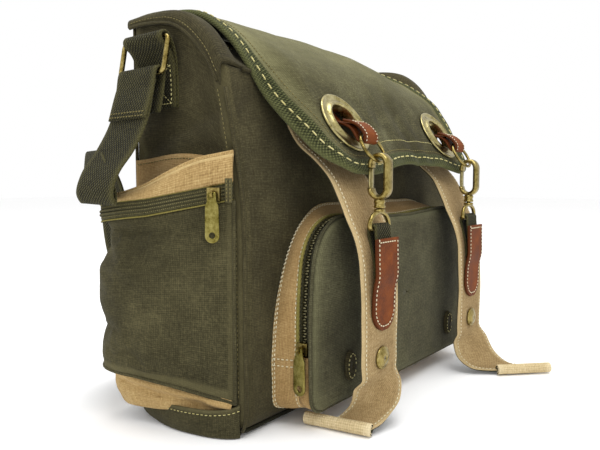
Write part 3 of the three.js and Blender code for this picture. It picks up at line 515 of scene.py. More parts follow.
def settle(P, flip, pressure=6.0, grow=0.035, limit=6.0):
    """Buckles a sheet inside its sewn edges by cloth simulation; moves are held to the limit."""
    rows, cols = P.shape[:2]
    faces = [(i * cols + j, i * cols + j + 1, (i + 1) * cols + j + 1, (i + 1) * cols + j)
             for i in range(rows - 1) for j in range(cols - 1)]
    mesh = bpy.data.meshes.new("settling")
    mesh.from_pydata([tuple(p) for p in P.reshape(-1, 3) * MM], [],
                     [f[::-1] for f in faces] if flip else faces)
    sheet = bpy.data.objects.new("settling", mesh)
    bpy.context.scene.collection.objects.link(sheet)
    sewn = sheet.vertex_groups.new(name="sewn")
    sewn.add([i * cols + j for i in range(rows) for j in range(cols)
              if min(i, rows - 1 - i, j, cols - 1 - j) < SEWN_ROWS], 1.0, "REPLACE")
    cloth = sheet.modifiers.new("cloth", "CLOTH")
    cloth.settings.quality = 6
    cloth.settings.mass = 0.3
    cloth.settings.bending_stiffness = 0.8
    cloth.settings.shrink_min = -grow
    cloth.settings.use_pressure = True
    cloth.settings.uniform_pressure_force = pressure
    cloth.settings.vertex_group_mass = "sewn"
    cloth.settings.effector_weights.gravity = 0
    cloth.collision_settings.use_collision = False
    cloth.point_cache.frame_start = 1
    cloth.point_cache.frame_end = SETTLE_FRAMES
    for step in range(1, SETTLE_FRAMES + 1):
        bpy.context.scene.frame_set(step)
    found = sheet.evaluated_get(bpy.context.evaluated_depsgraph_get())
    at = np.empty(rows * cols * 3)
    found.data.vertices.foreach_get("co", at)
    bpy.data.objects.remove(sheet)
    bpy.data.meshes.remove(mesh)
    bpy.context.scene.frame_set(1)
    move = at.reshape(rows, cols, 3) / MM - P
    far = np.linalg.norm(move, axis=2, keepdims=True)
    return P + move * np.tanh(far / limit) * limit / np.maximum(far, 1e-6)


# ---------------------------------------------------------------- threads
THREADS = {}


def bead(key, a, b, normal, radius, sink=0.3, lift=0.2):
    """A short rounded thread or tooth from a to b."""
    verts, faces = THREADS.setdefault(key, ([], []))
    along = b - a
    length = np.linalg.norm(along)
    if length < 1e-6:
        return
    along = along / length
    side = unit(np.cross(along, normal))
    base = len(verts)
    verts.append(a - normal * sink)
    for f in (0.2, 0.8):
        centre = a + along * length * f + normal * lift
        for k in range(6):
            t = math.pi * k / 3
            verts.append(centre + side * math.cos(t) * radius + normal * math.sin(t) * radius * 0.8)
    verts.append(b - normal * sink)
    for k in range(6):
        m = (k + 1) % 6
        faces.append((base, base + 1 + m, base + 1 + k))
        faces.append((base + 1 + k, base + 1 + m, base + 7 + m, base + 7 + k))
        faces.append((base + 13, base + 7 + k, base + 7 + m))


def stitch(points, normals, body, colour="cream", pitch=3.4, length=2.3, radius=0.42, lift=0.2):
    points = np.asarray(points, float)
    normals = np.broadcast_to(np.asarray(normals, float), points.shape)
    s = lengths(points)
    total = s[-1]
    if total < pitch:
        return
    for i in range(int((total - length) / pitch) + 1):
        start = i * pitch
        bead((body, colour), pick(points, s, start), pick(points, s, start + length),
             unit(pick(normals, s, start + length / 2)), radius, lift=lift)


def sew_all():
    mats = {"cream": CREAM, "yellow": YELLOW, "olive": OLIVE, "teeth": TEETH}
    for (body, colour), (verts, faces) in THREADS.items():
        corners = [(0.37 * verts[x][0] + verts[x][2], verts[x][1]) for face in faces for x in face]
        make(f"{colour}_threads_{body}", verts, faces, corners, body, [mats[colour]])


# ---------------------------------------------------------------- main body
FRONT_LINE = crom([(-55, 0), (-60, 8), (-62, 18), (-61.6, 70), (-61.4, 130), (-60, 165), (-52.5, 209),
                   (-44.5, 246), (-41, 262), (-38, 275)], 80)
ROOF_LINE = crom([(-60, 250), (-41, 264.5), (-16, 281), (18, 298.5), (40, 305.5), (60, 308.6)], 60)
EAR_LINE = crom([(-62, 246), (-41, 266.5), (-31, 283), (-19, 295.5), (-5, 304.5), (10, 309), (35, 310.6),
                 (62, 309.2)], 80)


def overhang(y):
    """Share of the roof's side lip left at y: it hangs deepest at the front."""
    return np.interp(y, [-41, -20, 10, 50], [1.0, 0.95, 0.62, 0.42])


def ear_z(y):
    return np.interp(y, EAR_LINE[:, 0], EAR_LINE[:, 1])


def front_y(z):
    return np.interp(z, FRONT_LINE[:, 1], FRONT_LINE[:, 0])


def roof_z(y):
    return np.interp(y, ROOF_LINE[:, 0], ROOF_LINE[:, 1])


def body_plan(radius=7.0):
    """Round the plan: x, depth fraction from front to back."""
    deep = radius / 116
    depths = np.linspace(deep, 1 - deep, 34)
    corner = [(158 + radius * math.sin(a), deep * (1 - math.cos(a)))
              for a in np.radians(np.linspace(15, 75, 5))]
    rear = [(x, 1 - f) for x, f in corner[::-1]]
    side = corner + [(165.0, f) for f in depths] + rear
    front = [(x, 0.0) for x in np.linspace(-158, 158, 76)]
    back = [(x, 1.0) for x in np.linspace(158, -158, 56)]
    return np.array(front + side + back + [(-x, f) for x, f in side[::-1]])


def body_shell():
    plan = body_plan()
    x, f = plan[:, 0], plan[:, 1]
    levels = np.concatenate([[0.0, 0.006, 0.014, 0.026], np.linspace(0.045, 1, 66)])
    ear = smooth(np.abs(x), 150, 162)
    top = roof_z(-41 + 100 * f) * (1 - ear) + (ear_z(-41 + 100 * f) - 1) * ear - 1
    rows = []
    for t in levels:
        z = 1.2 + t * (top - 1.2)
        front = front_y(z)
        y = front + (58.5 - front) * f
        inset = 5.5 * (1 - smooth(np.full_like(z, t), -0.002, 0.03))
        rows.append(xyz(x * (1 - inset / 165), y - (f - 0.5) * 2 * inset, z))
    P = np.array(rows)
    side = np.abs(P[..., 0]) > 164
    height = levels[:, None]
    belly = np.sin(np.pi * np.clip(height, 0, 1)) ** 0.7
    normals = grid_normals(P, True)
    if normals[30, 38][1] > 0:
        normals = -normals
    face_x = np.cos(np.pi * np.clip(x / 330, -0.5, 0.5))[None]
    swell = np.where(side, 2.2 * np.sin(np.pi * f)[None] * belly, 1.2 * face_x * belly)
    swell = swell + 1.5 * wobble(P * vec(1, 1, 0.55), 0.016, 3.1) * belly
    swell = swell + 0.7 * wobble(P, 0.05, 9.0) * belly
    # The gusset is drawn in under the ring's anchor and creases above the side pocket.
    crease = gauss(P[..., 2] - 222 + 0.35 * P[..., 1], 7) + 0.7 * gauss(P[..., 2] - 205, 5)
    swell = swell - np.where(side, 3.2 * crease, 0)
    P = P + normals * swell[..., None]
    corner = gauss(np.abs(x) - 165, 4) * ((f < 0.09) | (f > 0.91))
    wear_and_light = np.tile(corner * 0.5, (len(levels), 1))
    flip = faces_away(P, True, (30, 38), (0, -1, 0))
    grid("body_shell", P, "bag", [CANVAS, LINING], 2.2, flip=flip, closed=True, wear_and_light=wear_and_light,
         replaced=("front_panel", "back_panel", "left_gusset", "right_gusset"), slot="canvas")
    for name, sign in SIDES:
        z = np.linspace(4, 248, 60)
        corner_line = xyz(sign * 163.6, front_y(z) + 1.0, z)
        out = unit(vec(sign * 1.0, -1.0, 0.0))
        tube(f"{name}_front_seam", corner_line + out * 0.4, 1.3, "bag", CANVAS)
        on_side = corner_line + vec(sign * 1.9, 6.0, 0)
        stitch(on_side[6:], (sign, 0, 0), "bag", "olive", radius=0.3)
        rear = xyz(sign * 163.6, 58.0, np.linspace(4, 304, 60))
        tube(f"{name}_back_seam", rear, 1.3, "bag", CANVAS)


def base_sheet():
    outline = body_plan(9.0)
    ring = xyz(outline[:, 0] * 0.985, (outline[:, 1] - 0.5) * 110, 0)
    rows = []
    for scale, z in ((1.0, 2.6), (0.995, 0.9), (0.98, 0.1), (0.7, 0.05), (0.3, 0.05), (0.02, 0.05)):
        rows.append(ring * vec(scale, scale, 1) + vec(0, 0, z))
    P = np.array(rows)
    flip = faces_away(P, True, (3, 10), (0, 0, -1))
    grid("base_sheet", P, "bag", [CANVAS], 1.8, flip=flip, closed=True, replaced="base_panel",
         slot="canvas")
    piping = ring * vec(1.002, 1.01, 1) + vec(0, 0, 3.2)
    tube("base_piping", piping, 1.5, "bag", LINING, closed=True)


def roof():
    """Top panel with the open mouth; its sides hang over the gussets as a stitched lip."""
    across = [-168.2, -168.4, -168.0, -166.5, -163.5]
    drop = [-17.0, -11.0, -5.5, -1.6, -0.2]
    xs = np.concatenate([across, np.linspace(-158, 158, 91), -np.array(across[::-1])])
    drops = np.concatenate([drop, np.zeros(91), drop[::-1]])
    ys = np.linspace(-42, 60, 34)
    lift = smooth(np.abs(xs), 140, 156)
    short = overhang(ys)
    P = np.array([[(x, y, roof_z(y) + up * (ear_z(y) - roof_z(y)) + d * k + 0.8) for x, d,
                   up in zip(xs, drops, lift)] for y, k in zip(ys, short)])
    inside = np.abs(P[..., 0]) < 160
    sag = -3.0 * np.cos(np.pi * P[..., 0] / 330) * np.sin(np.pi * (P[..., 1] + 42) / 102)
    P[..., 2] += np.where(inside, sag + 0.8 * wobble(P, 0.03, 5.0), 0)
    P[..., 0] += np.where(inside, 0, np.sign(P[..., 0]) * 0.9 * wobble(P, 0.05, 2.0))
    middle = (P[1:, 1:] + P[:-1, :-1]) / 2
    mouth = (np.abs(middle[..., 0]) < 115) & (middle[..., 1] > -12) & (middle[..., 1] < 30)
    flip = faces_away(P, False, (10, 40), (0, 0, 1))
    grid("roof_panel", P, "bag", [CANVAS, LINING], 1.8, flip=flip, skip=mouth, replaced="top_panel",
         slot="canvas")
    inner = np.argwhere(mouth)
    i0, j0 = inner.min(0)
    i1, j1 = inner.max(0) + 1
    loop = [P[i0, j] for j in range(j0, j1)] + [P[i, j1] for i in range(i0, i1)]
    loop += [P[i1, j] for j in range(j1, j0, -1)] + [P[i, j0] for i in range(i1, i0, -1)]
    loop = np.array(loop) - vec(0, 0, 0.9)
    tube("mouth_hem", loop, 1.7, "bag", CANVAS, closed=True)
    centre = loop.mean(0)
    away = loop + unit((loop - centre) * vec(1, 1, 0)) * 6
    away[:, 2] = [roof_z(p[1]) - 1.2 for p in away]
    stitch(away, (0, -0.3, 1), "bag", "yellow", lift=0.9)
    for name, sign in SIDES:
        y = np.linspace(-40, 58, 60)
        reach = overhang(y)
        edge = xyz(sign * 168.9, y, ear_z(y) - 9.5 * reach)
        stitch(edge, (sign, 0, 0), "bag", "olive", radius=0.3, lift=0.5)
        hem = xyz(sign * 168.3, y, ear_z(y) - 16 * reach)
        tube(f"roof_lip_{name}", hem, 1.4, "bag", CANVAS)
    front = xyz(np.linspace(-146, 146, 80), -42.2, roof_z(-42) - 1)
    tube("roof_front_seam", front, 1.5, "bag", CANVAS)
    rear = xyz(np.linspace(-158, 158, 80), 57.6, 310.2)
    tube("hinge_seam", rear, 1.7, "bag", CANVAS)


# ---------------------------------------------------------------- flap
MIDDLE = crom([(60, 314), (33, 317), (4, 310), (-30, 292), (-58, 269.2), (-74.7, 242.8), (-91.3, 216.4),
               (-107.4, 190)], 210)
LEFT_EDGE = crom([(60, 314), (33, 316), (10, 312.5), (-19, 294), (-40.5, 268.3), (-56, 235), (-83, 203),
                  (-104, 188)], 210)
RIGHT_EDGE = crom([(60, 314), (33, 311), (6, 299), (-27, 282.5), (-55, 263.5), (-74.7, 242.8),
                   (-91.3, 216.4), (-107.4, 190)], 210)
FLAP_LENGTH = lengths(MIDDLE)[-1]
FLAP_CORNER = 34
EYELET_BORE = 17.6
EYELET_X = 81.0
EYELET = vec(0, -85.7, 225.4)
OUT = unit(vec(0, -79.2, 50.0))
DOWN = unit(vec(0, -50.0, -79.2))


def flap_base(x, t):
    t = np.clip(t, 0, 1)
    steps = np.linspace(0, 1, 211)
    left, right = smooth(-x, 105, 136), smooth(x, 40, 125)
    at = []
    for k in (0, 1):
        middle, low, high = (np.interp(t, steps, line[:, k]) for line in (MIDDLE, LEFT_EDGE, RIGHT_EDGE))
        at.append(middle + left * (low - middle) + right * (high - middle))
    rise = smooth(t, 0.6, 1) * (11 * (1 - smooth(np.abs(x - 20), 25, 90)) - 2)
    return xyz(x, at[0] - DOWN[1] * rise, at[1] - DOWN[2] * rise)


def flap_point(x, t, height):
    """Points of the flap at height above its middle surface."""
    x, t = np.broadcast_arrays(np.asarray(x, float), np.asarray(t, float))
    down = flap_base(x, t + 0.006) - flap_base(x, t - 0.006)
    across = flap_base(x + 1.0, t) - flap_base(x - 1.0, t)
    normal = upward(unit(np.cross(across, down)))
    base = flap_base(x, t)
    near = np.minimum(np.linalg.norm(base - EYELET - vec(EYELET_X, 0, 0), axis=-1),
                      np.linalg.norm(base - EYELET + vec(EYELET_X, 0, 0), axis=-1))
    calm = smooth(near, 25, 46) * smooth(t, 0, 0.12)
    drift = 1.9 * wobble(base, 0.018, 11.0) + 0.9 * wobble(base, 0.045, 4.0)
    # Soft flutes hang between the eyelets.
    for place, width, deep in ((-46, 9, 2.0), (-18, 11, 1.4), (14, 8, 1.8), (40, 10, 1.6), (-120, 9, 1.2)):
        lean = place + 14 * (t - 0.8)
        drift = drift - deep * gauss(x - lean, width) * smooth(t, 0.5, 0.85)
    return base + normal * (height + drift * calm)[..., None]


def upward(normal):
    """Flips normals so that they point up or to the front."""
    sign = np.where(normal[..., 2] - normal[..., 1] < 0, -1.0, 1.0)
    return normal * sign[..., None]


def half_width(t, inset):
    half = 140 - 18 * smooth(t, 0.5, 0.9) - inset
    radius = FLAP_CORNER - inset
    left = (1 - t) * FLAP_LENGTH - inset
    rise = np.clip(radius - left, 0, radius)
    return half - radius + np.sqrt(np.maximum(radius * radius - rise * rise, 0))


def flap_sheet():
    inset = 10.4
    end = 1 - inset / FLAP_LENGTH
    arc = (FLAP_CORNER - inset) / FLAP_LENGTH
    t = np.concatenate([np.linspace(0, end - arc, 74)[:-1],
                        end - arc + arc * np.sin(np.linspace(0, np.pi / 2, 10))])
    c = np.sin(np.linspace(-1, 1, 77) * np.pi / 2) * 0.15 + np.linspace(-1, 1, 77) * 0.85
    x = half_width(t, inset)[:, None] * c[None]
    T = np.repeat(t[:, None], len(c), 1)
    P = flap_point(x, T, 1.5)
    middle = (P[1:, 1:] + P[:-1, :-1]) / 2
    hole = np.zeros(middle.shape[:2], bool)
    for _, sign in SIDES:
        rel = middle - EYELET - vec(sign * EYELET_X, 0, 0)
        hole |= np.linalg.norm(rel - OUT * (rel @ OUT)[..., None], axis=-1) < EYELET_BORE
    # Lighter sides and foot for edge wear; the last term lightens the flap's upper part, a painted
    # highlight where light falls on its top.
    worn = 0.5 * smooth(np.abs(c), 0.86, 0.98)[None] + 0.4 * smooth(T, 0.92,
                                                                    1.0) + 0.75 * (1 - smooth(T, 0.3, 0.8))
    worn = np.clip(worn, 0, 1)
    flip = grid_normals(P, False)[20, 38] @ vec(0, -0.5, 1) < 0
    grid("flap_sheet", P, "flap", [FLAP, LINING], 3.0, flip=flip, skip=hole, wear_and_light=worn,
         replaced="flap_panel", slot="flap_canvas")


def flap_path(inset, count=70):
    """x and t inside the flap's free edge: down the left, along the foot and up the right."""
    end = 1 - inset / FLAP_LENGTH
    radius = FLAP_CORNER - inset
    arc = radius / FLAP_LENGTH
    t = np.concatenate([np.linspace(0, end - arc, count),
                        end - arc + arc * np.sin(np.linspace(0.08, np.pi / 2, 16))])
    x = half_width(t, inset)
    foot = x[-1] * np.linspace(1, 0, 40)[1:]
    left_x = np.concatenate([-x, -foot])
    left_t = np.concatenate([t, np.full(39, t[-1])])
    return np.concatenate([left_x, -left_x[-2::-1]]), np.concatenate([left_t, left_t[-2::-1]])


def flap_binding():
    profile = [(0.0, 0.0), (0.25, 1.5), (1.2, 2.3), (4, 2.6), (7, 2.6), (10, 2.5), (11.6, 2.1), (12.0, 1.4),
               (12.0, -1.4), (11.6, -2.1), (10, -2.5), (7, -2.6), (4, -2.6), (1.2, -2.3), (0.25, -1.5)]
    lines = []
    for inset, height in profile:
        x, t = flap_path(inset)
        lines.append(flap_point(x, t, height))
    rings = np.stack(lines, 1)
    tunnel("flap_binding_tape", rings, "flap", [BINDING], replaced="flap_binding", slot="webbing",
           wear_and_light=np.tile([0.9, 0.7, 0.3, 0, 0, 0, 0.3, 0.3, 0, 0, 0, 0, 0, 0.3, 0.7], len(rings)))
    for inset, pitch, length, radius, colour in ((6.6, 8.2, 6.2, 0.62, "yellow"),
                                                 (15.0, 3.2, 2.2, 0.34, "olive")):
        x, t = flap_path(inset)
        top = flap_point(x, t, 2.6 if inset < 12 else 1.5)
        normal = unit(flap_point(x, t, 6.0) - flap_point(x, t, 2.0))
        stitch(top, normal, "flap", colour, pitch=pitch, length=length, radius=radius, lift=0.3)
    x = np.linspace(-100, 100, 60)
    low = np.full_like(x, 1 - 26 / FLAP_LENGTH)
    stitch(flap_point(x, low, 1.5), OUT, "flap", "yellow", pitch=3.0, length=2.0, radius=0.34)


def eyelets():
    grip = 2.3
    profile = [(15.5, 0), (15.9, -3.4), (18, -3.5), (23.5, -3.4), (23.5, -2.3), (17.3, -2.3), (17.3, grip),
               (25.2, grip), (26.0, 2.8), (26.2, 3.5), (25.7, 4.2), (24.8, 4.5), (23.8, 4.2), (23.0, 3.5),
               (21.6, 3.3), (19.8, 3.8), (18.6, 4.8), (17.6, 5.6), (16.8, 5.7), (16.0, 5.1), (15.6, 3.6)]
    for name, sign in SIDES:
        lathe(f"{name}_stepped_eyelet", profile, EYELET + vec(sign * EYELET_X, 0, 0), OUT, "flap", BRASS,
              replaced=f"{name}_eyelet", slot="brass")


RING_TOP = vec(0, -105.8, 218.0)
RING_LOW = vec(0, -119.5, 196.5)


def leather_tabs():
    rel = RING_TOP - EYELET
    ring = rel @ OUT
    end = rel @ DOWN + 4.6
    wrap = 3.15
    lower = [(-34, -6.4), (-14, -6.4), (-6, -4.2), (0, 2), (6, ring - 6), (11, ring - 3.6),
             (16, ring - wrap), (end, ring - wrap)]
    upper = [(end + wrap, ring), (end, ring + wrap), (16, ring + wrap), (11, ring + 1.6), (6, ring - 1.6),
             (1, ring - 6.4)]
    for name, sign in SIDES:
        centre = EYELET + vec(sign * EYELET_X, 0, 0)
        route = [[*(centre + DOWN * s + OUT * n), 1, 0, 0] for s, n in lower + upper]
        at, side, up = strap(f"{name}_tab", route, 19, 2.2, 90, "flap", [LEATHER], ripple=0.35,
                             seed=sign * 7, replaced=f"{name}_leather_tab", slot="leather")
        away = np.where((up @ OUT)[:, None] > 0, up, -up)
        last = slice(-34, -6)
        for offset in (-7.2, 7.2):
            stitch((at + side * offset + away * 1.1)[last], away[last], "flap", "cream", pitch=2.6,
                   length=1.7)
        across = at[-10] + away[-10] * 1.1 + side[-10] * np.linspace(-6.5, 6.5, 8)[:, None]
        stitch(across, away[-10], "flap", "cream", pitch=2.6, length=1.7)
        middle = (RING_TOP + RING_LOW) / 2 + vec(sign * EYELET_X, 0, 0)
        down = unit(RING_LOW - RING_TOP)
        radius = np.linalg.norm(RING_LOW - RING_TOP) / 2
        turn = np.linspace(0, 2 * np.pi, 64, endpoint=False)
        loop = middle + radius * (np.cos(turn)[:, None] * vec(1, 0, 0) + np.sin(turn)[:, None] * down)
        tube(f"{name}_round_ring", loop, 1.3, f"{name}_tab_ring_body", DARK_BRASS, closed=True,
             replaced=f"{name}_tab_ring", slot="brass")


# ---------------------------------------------------------------- closure straps and hooks
FALL = [(-50.2, 240), (-53, 226), (-62, 212), (-80, 198), (-94, 184), (-103, 168), (-109, 154),
        (-112.4, 147), (-116, 138), (-119.2, 125), (-120.5, 113), (-121.5, 95), (-122, 76), (-122, 58),
        (-122, 41)]
FOOT = {"left": [(-85, -121.5, 30, 0.9, -0.43, 0), (-88, -121, 19, 0.68, -0.73, 0),
                 (-93.6, -117.2, 10.8, 0.45, -0.89, 0), (-101, -114.7, 6.4, 0.28, -0.96, 0),
                 (-109.2, -111.8, 4.2, 0.2, -0.98, 0)], "right": [(84.5, -124, 30, 0.96, -0.28, 0),
                                                                  (86, -130, 15, 0.9, -0.43, 0),
                                                                  (90.5, -141, 6, 0.88, -0.47, 0),
                                                                  (97.5, -156, 3.5, 0.8, -0.6, 0),
                                                                  (104, -169, 3.5, 0.72, -0.69, 0)],}
ROLL = {"left": ((-111, -103, 5.4), (0.2, -0.98, 0)), "right": ((104, -169, 5.4), (0.72, -0.69, 0))}


def closure_straps():
    for name, sign in SIDES:
        route = [[sign * 84, y, z, 1, 0, 0] for y, z in FALL] + [list(r) for r in FOOT[name]]
        gather = 0.34 if name == "left" else 0.1
        narrow = 1 - gather * smooth(52 - stations(route, 150)[0][:, 2], 0, 46)
        at, side, up = strap(f"{name}_tan_strap", route, 50, 2.6, 150, "bag", [STRAP, LINING], ripple=1.3,
                             seed=sign * 3, narrow=narrow, replaced=f"{name}_closure_strap",
                             slot="tan_canvas")
        for offset in (-21.5, 21.5):
            line = at + side * (offset * narrow)[:, None] + up * 1.35
            stitch(line[:-3], up[:-3], "bag", "cream", radius=0.36, lift=0.5)
        centre, axis = ROLL[name]
        axis = unit(np.array(axis, float))
        across = unit(np.cross(axis, (0, 0, 1)))
        route = []
        for k in range(26):
            turn = -0.5 * math.pi + k * 0.42
            radius = 4.4 - 0.11 * k
            p = np.array(centre) + across * radius * math.cos(turn) + vec(0, 0, radius * math.sin(turn))
            route.append([*p, *axis])
        # The rolled ends take the paler strap canvas, a painted highlight; their lining stays dark.
        mats = [LIT_ROLL_CANVAS, LINING]
        roll_at, _, roll_up = stations(route, 60)
        outward = np.dot(roll_up[10], roll_at[10] - np.array(centre)) > 0
        strap(f"{name}_rolled_end", route, 53, 1.5, 80, "bag", mats if outward else mats[::-1], ripple=0.5,
              seed=5 * sign, slot="tan_canvas")


def leather_patches():
    fall = [(-126.8, 141), (-127.2, 126), (-127.3, 113), (-125.4, 104), (-124.6, 92), (-124.8, 73)]
    for name, sign in SIDES:
        route = [[sign * 83, y, z, 1, 0, 0] for y, z in fall]
        at, side, up = stations(route, 60)
        to_foot = at[:, 2] - 73
        rise = np.clip(15.6 - to_foot, 0, 15.6)
        narrow = np.sqrt(np.maximum(16.2 ** 2 - rise ** 2, 6)) / 16.2
        strap(f"{name}_patch", route, 32.4, 2.2, 60, "bag", [LEATHER], ripple=0.25, narrow=narrow,
              replaced=f"{name}_leather_patch", slot="leather")
        reach = 13.2 * np.sqrt(np.clip(1 - (np.clip(13.5 - to_foot + 2.6, 0, 13.5) / 13.5) ** 2, 0, 1))
        keep = to_foot > 2.7
        left = (at - side * reach[:, None] + up * 1.1)[keep]
        right = (at + side * reach[:, None] + up * 1.1)[keep]
        line = np.concatenate([left, right[::-1]])
        stitch(line, (0, -1, 0), "bag", "cream", pitch=3.3, length=2.2, radius=0.45, lift=0.3)
        top = at[2] + up[2] * 1.1 + side[2] * np.linspace(-12, 12, 12)[:, None]
        stitch(top, up[2], "bag", "cream", pitch=3.3, length=2.2, radius=0.45, lift=0.3)


HOOK = vec(83.0, -120.0, 186.0)


def hook_loops():
    bend = 3.05
    over = [(HOOK[1] - bend * math.cos(math.radians(a)), 148 + bend * math.sin(math.radians(a)))
            for a in (150, 90, 30)]
    fall = [(-122.9, 112), (-122.1, 124), (-118.7, 137), (-117, 146), *over, (-123.2, 145), (-124.1, 136),
            (-125, 124), (-125.2, 112)]
    for name, sign in SIDES:
        strap(f"{name}_webbing_loop", [[sign * 83, y, z, 1, 0, 0] for y, z in fall], 22.5, 1.7, 60, "bag",
              [WEBBING], replaced=f"{name}_hook_loop", slot="webbing")


def stadium(half_wide, half_high, low_gap, high_gap):
    """Centre line of the hook's band in Y, Z, open on the bag's side between the two heights."""
    straight = half_high - half_wide
    points = []
    for a in np.linspace(0, np.pi, 22):
        points.append((half_wide * math.cos(a), straight + half_wide * math.sin(a)))
    for z in np.linspace(straight, -straight, 10)[1:-1]:
        points.append((-half_wide, z))
    for a in np.linspace(np.pi, 2 * np.pi, 22):
        points.append((half_wide * math.cos(a), -straight + half_wide * math.sin(a)))
    return [(half_wide, high_gap)] + points + [(half_wide, low_gap)]


def hooks():
    for name, sign in SIDES:
        centre = HOOK * vec(sign, 1, 1)
        line = np.array([(0, y, z) for y, z in stadium(7, 15.5, -10.4, 6.4)]) + centre
        along = tangents(line)
        rings = []
        for k, (p, t) in enumerate(zip(line, along)):
            out = np.array([0, t[2], -t[1]])
            spine = 1.0 + 0.25 * max(0.0, -(p[1] - centre[1]) / 7)
            thick = 1.75 * spine
            deep = 3.9 + 0.5 * max(0.0, -(p[1] - centre[1]) / 7)
            ring = []
            for a, b in ((-1, -0.55), (-0.75, -0.92), (0, -1), (0.75, -0.92), (1, -0.55), (1, 0.55),
                         (0.75, 0.92), (0, 1), (-0.75, 0.92), (-1, 0.55)):
                ring.append(p + out * thick * a + vec(deep * b, 0, 0))
            rings.append(ring)
        tunnel(f"{name}_trigger_hook", rings, f"{name}_hook", [DARK_BRASS], replaced=f"{name}_hook_frame",
               slot="brass")
        low = centre - vec(0, 0, 23.2)
        barrel = [(1.9, 0.0), (3.9, 0.0), (4.4, 0.5), (4.4, 1.6), (3.8, 2.1), (3.8, 3.6), (4.3, 4.2),
                  (4.3, 5.4), (3.6, 6.6), (2.2, 7.2), (1.9, 7.2)]
        lathe(f"{name}_swivel_barrel", barrel, low, (0, 0, 1), f"{name}_hook", DARK_BRASS, sides=40)
        gate = []
        for z in np.linspace(176.2, 192.2, 9):
            f = math.sin(math.pi * (z - 176) / 16.4) * 0.3
            y = centre[1] + 7 + f
            gate.append([(centre[0] + a, y + b, z) for a,
                         b in ((-2.6, -0.9), (0, -1.0), (2.6, -0.9), (3, 0), (2.6, 0.9), (0, 1.0),
                               (-2.6, 0.9), (-3, 0))])
        tunnel(f"{name}_sprung_gate", gate, f"{name}_gate", [BRASS], replaced=f"{name}_hook_gate",
               slot="brass")
        arch = []
        for a in np.linspace(0, np.pi, 30):
            arch.append((centre[0] + 13.5 * math.cos(a), centre[1], 150 + 10 * math.sin(a)))
        for f in np.linspace(-0.9, 0.9, 9):
            arch.append((centre[0] + 13.5 * f, centre[1], 148.0))
        tube(f"{name}_d_eye", arch, 1.75, f"{name}_eye", DARK_BRASS, closed=True,
             replaced=f"{name}_hook_eye", slot="brass")
        pin = [(0.05, 0), (4.2, 0), (4.4, 0.8), (3.9, 1.9), (1.6, 2.2), (1.5, 6.2), (0.05, 6.4)]
        lathe(f"{name}_swivel_pin", pin, (centre[0], centre[1], 160.2), (0, 0, 1), f"{name}_eye",
              DARK_BRASS, sides=32)
        cap = [(0.05, -0.6), (8.3, -0.6), (8.7, 0.0), (8.6, 0.9), (7.8, 1.5), (7.2, 1.3), (6.9, 1.6),
               (5.6, 2.4), (3.4, 3.0), (0.05, 3.2)]
        lathe(f"{name}_stud_cap", cap, (sign * 84, -124.3, 52), (0, -1, 0), "bag", DARK_BRASS,
              replaced=f"{name}_snap_cap", slot="brass")


# ---------------------------------------------------------------- front pocket
SEAM = [(-112, 12.5), (-130, 12.6), (-137, 18), (-138, 36), (-137.6, 56), (-131.5, 94.5), (-121, 123),
        (-104, 149), (-82, 163), (-40, 165.5)]
LIPS = [(-108, 15), (-122, 15.4), (-128, 21), (-129.6, 38), (-130, 58), (-129.2, 98), (-124, 131),
        (-112.5, 147.5), (-94, 155.5), (-50, 154.5), (-16, 152.6)]
ZIP_FOOT = 57.0


def full_outline(half):
    """Closed X, Z outline from its left half, foot first."""
    left = crom(half, 90)
    left = resample(np.concatenate([[(0, half[0][1])], left, [(0, half[-1][1] + 0.3)]]), 150)
    right = left[-2:0:-1] * np.array([-1, 1])
    return np.concatenate([left, right])


def ring_at(outline, y, inset=0.0):
    centre = np.array([0, 85.0])
    away = tangents(outline, True)
    out = np.stack([away[:, 1], -away[:, 0]], 1)
    out = out * np.sign(((outline - centre) * out).sum(1))[:, None]
    p = outline - out * inset
    return np.stack([p[:, 0], np.full(len(p), y), p[:, 1]], 1)


def front_pocket_side():
    """Tan side of the front pocket, and its foot below the zipper."""
    seam, lips = full_outline(SEAM), full_outline(LIPS)
    P = sheet_of(13, lambda f: ring_at(seam * (1 - f ** 0.8) + lips * f ** 0.8, -61.2 - 19.6 * f,
                                       inset=-1.2 * math.sin(math.pi * f)))
    sway = 0.9 * wobble(P, 0.04, 6.0) * np.sin(np.pi * np.linspace(0, 1, 13))[:, None]
    P = P + sway[..., None] * vec(0.8, 0, 0.5)
    flip = faces_away(P, True, (6, 60), (-1, 0, 0))
    grid("front_pocket_side", P, "bag", [TAN], 2.0, flip=flip, closed=True,
         wear_and_light=down_rows([1, 0.5] + [0] * 9 + [0.4, 0.9], P), replaced="front_pocket_gusset",
         slot="tan_canvas")
    for row in (1, 2, 11):
        line = P[row]
        stitch(line, unit((line - line.mean(0)) * vec(1, 0, 1)), "bag", lift=0.35)
    low = np.array([ring_at(lips, y, inset=i) for y,
                    i in ((-80.6, 0.2), (-84, -0.4), (-88, -0.4), (-91.8, 0.4))])
    foot = lips[:, 1] < ZIP_FOOT
    above = np.tile(~(foot & np.roll(foot, -1)), (3, 1))
    grid("front_pocket_foot", low, "bag", [TAN], 1.8, flip=flip, closed=True, skip=above, slot="tan_canvas")
    for sign in (-1, 1):
        for z in (52.5, 47.5):
            y = np.linspace(-63, -91, 20)
            x = np.interp(z, [38, 58], [129.6, 130]) + 0.6 + np.interp(y, [-80.8, -61.2], [0, 7.6])
            stitch(xyz(sign * x, y, z), (sign, 0, 0), "bag", lift=0.5)


def front_pocket_zipper():
    lips = full_outline(LIPS)
    up = np.where(lips[:, 1] >= ZIP_FOOT)[0]
    path = ring_at(lips, -86.2, inset=0.9)[up]
    out = unit(np.cross(tangents(path), (0, 1, 0)))
    out = out * np.sign((out * (path - vec(0, -86.2, 85))).sum(1))[:, None]
    zipper("front_zip", path, out, vec(0, -1, 0), 5.6, "bag", "front_pocket_zipper")
    tube("front_zip_edge", ring_at(lips, -80.9, inset=-0.2)[up], 1.25, "bag", EDGE_TAPE)


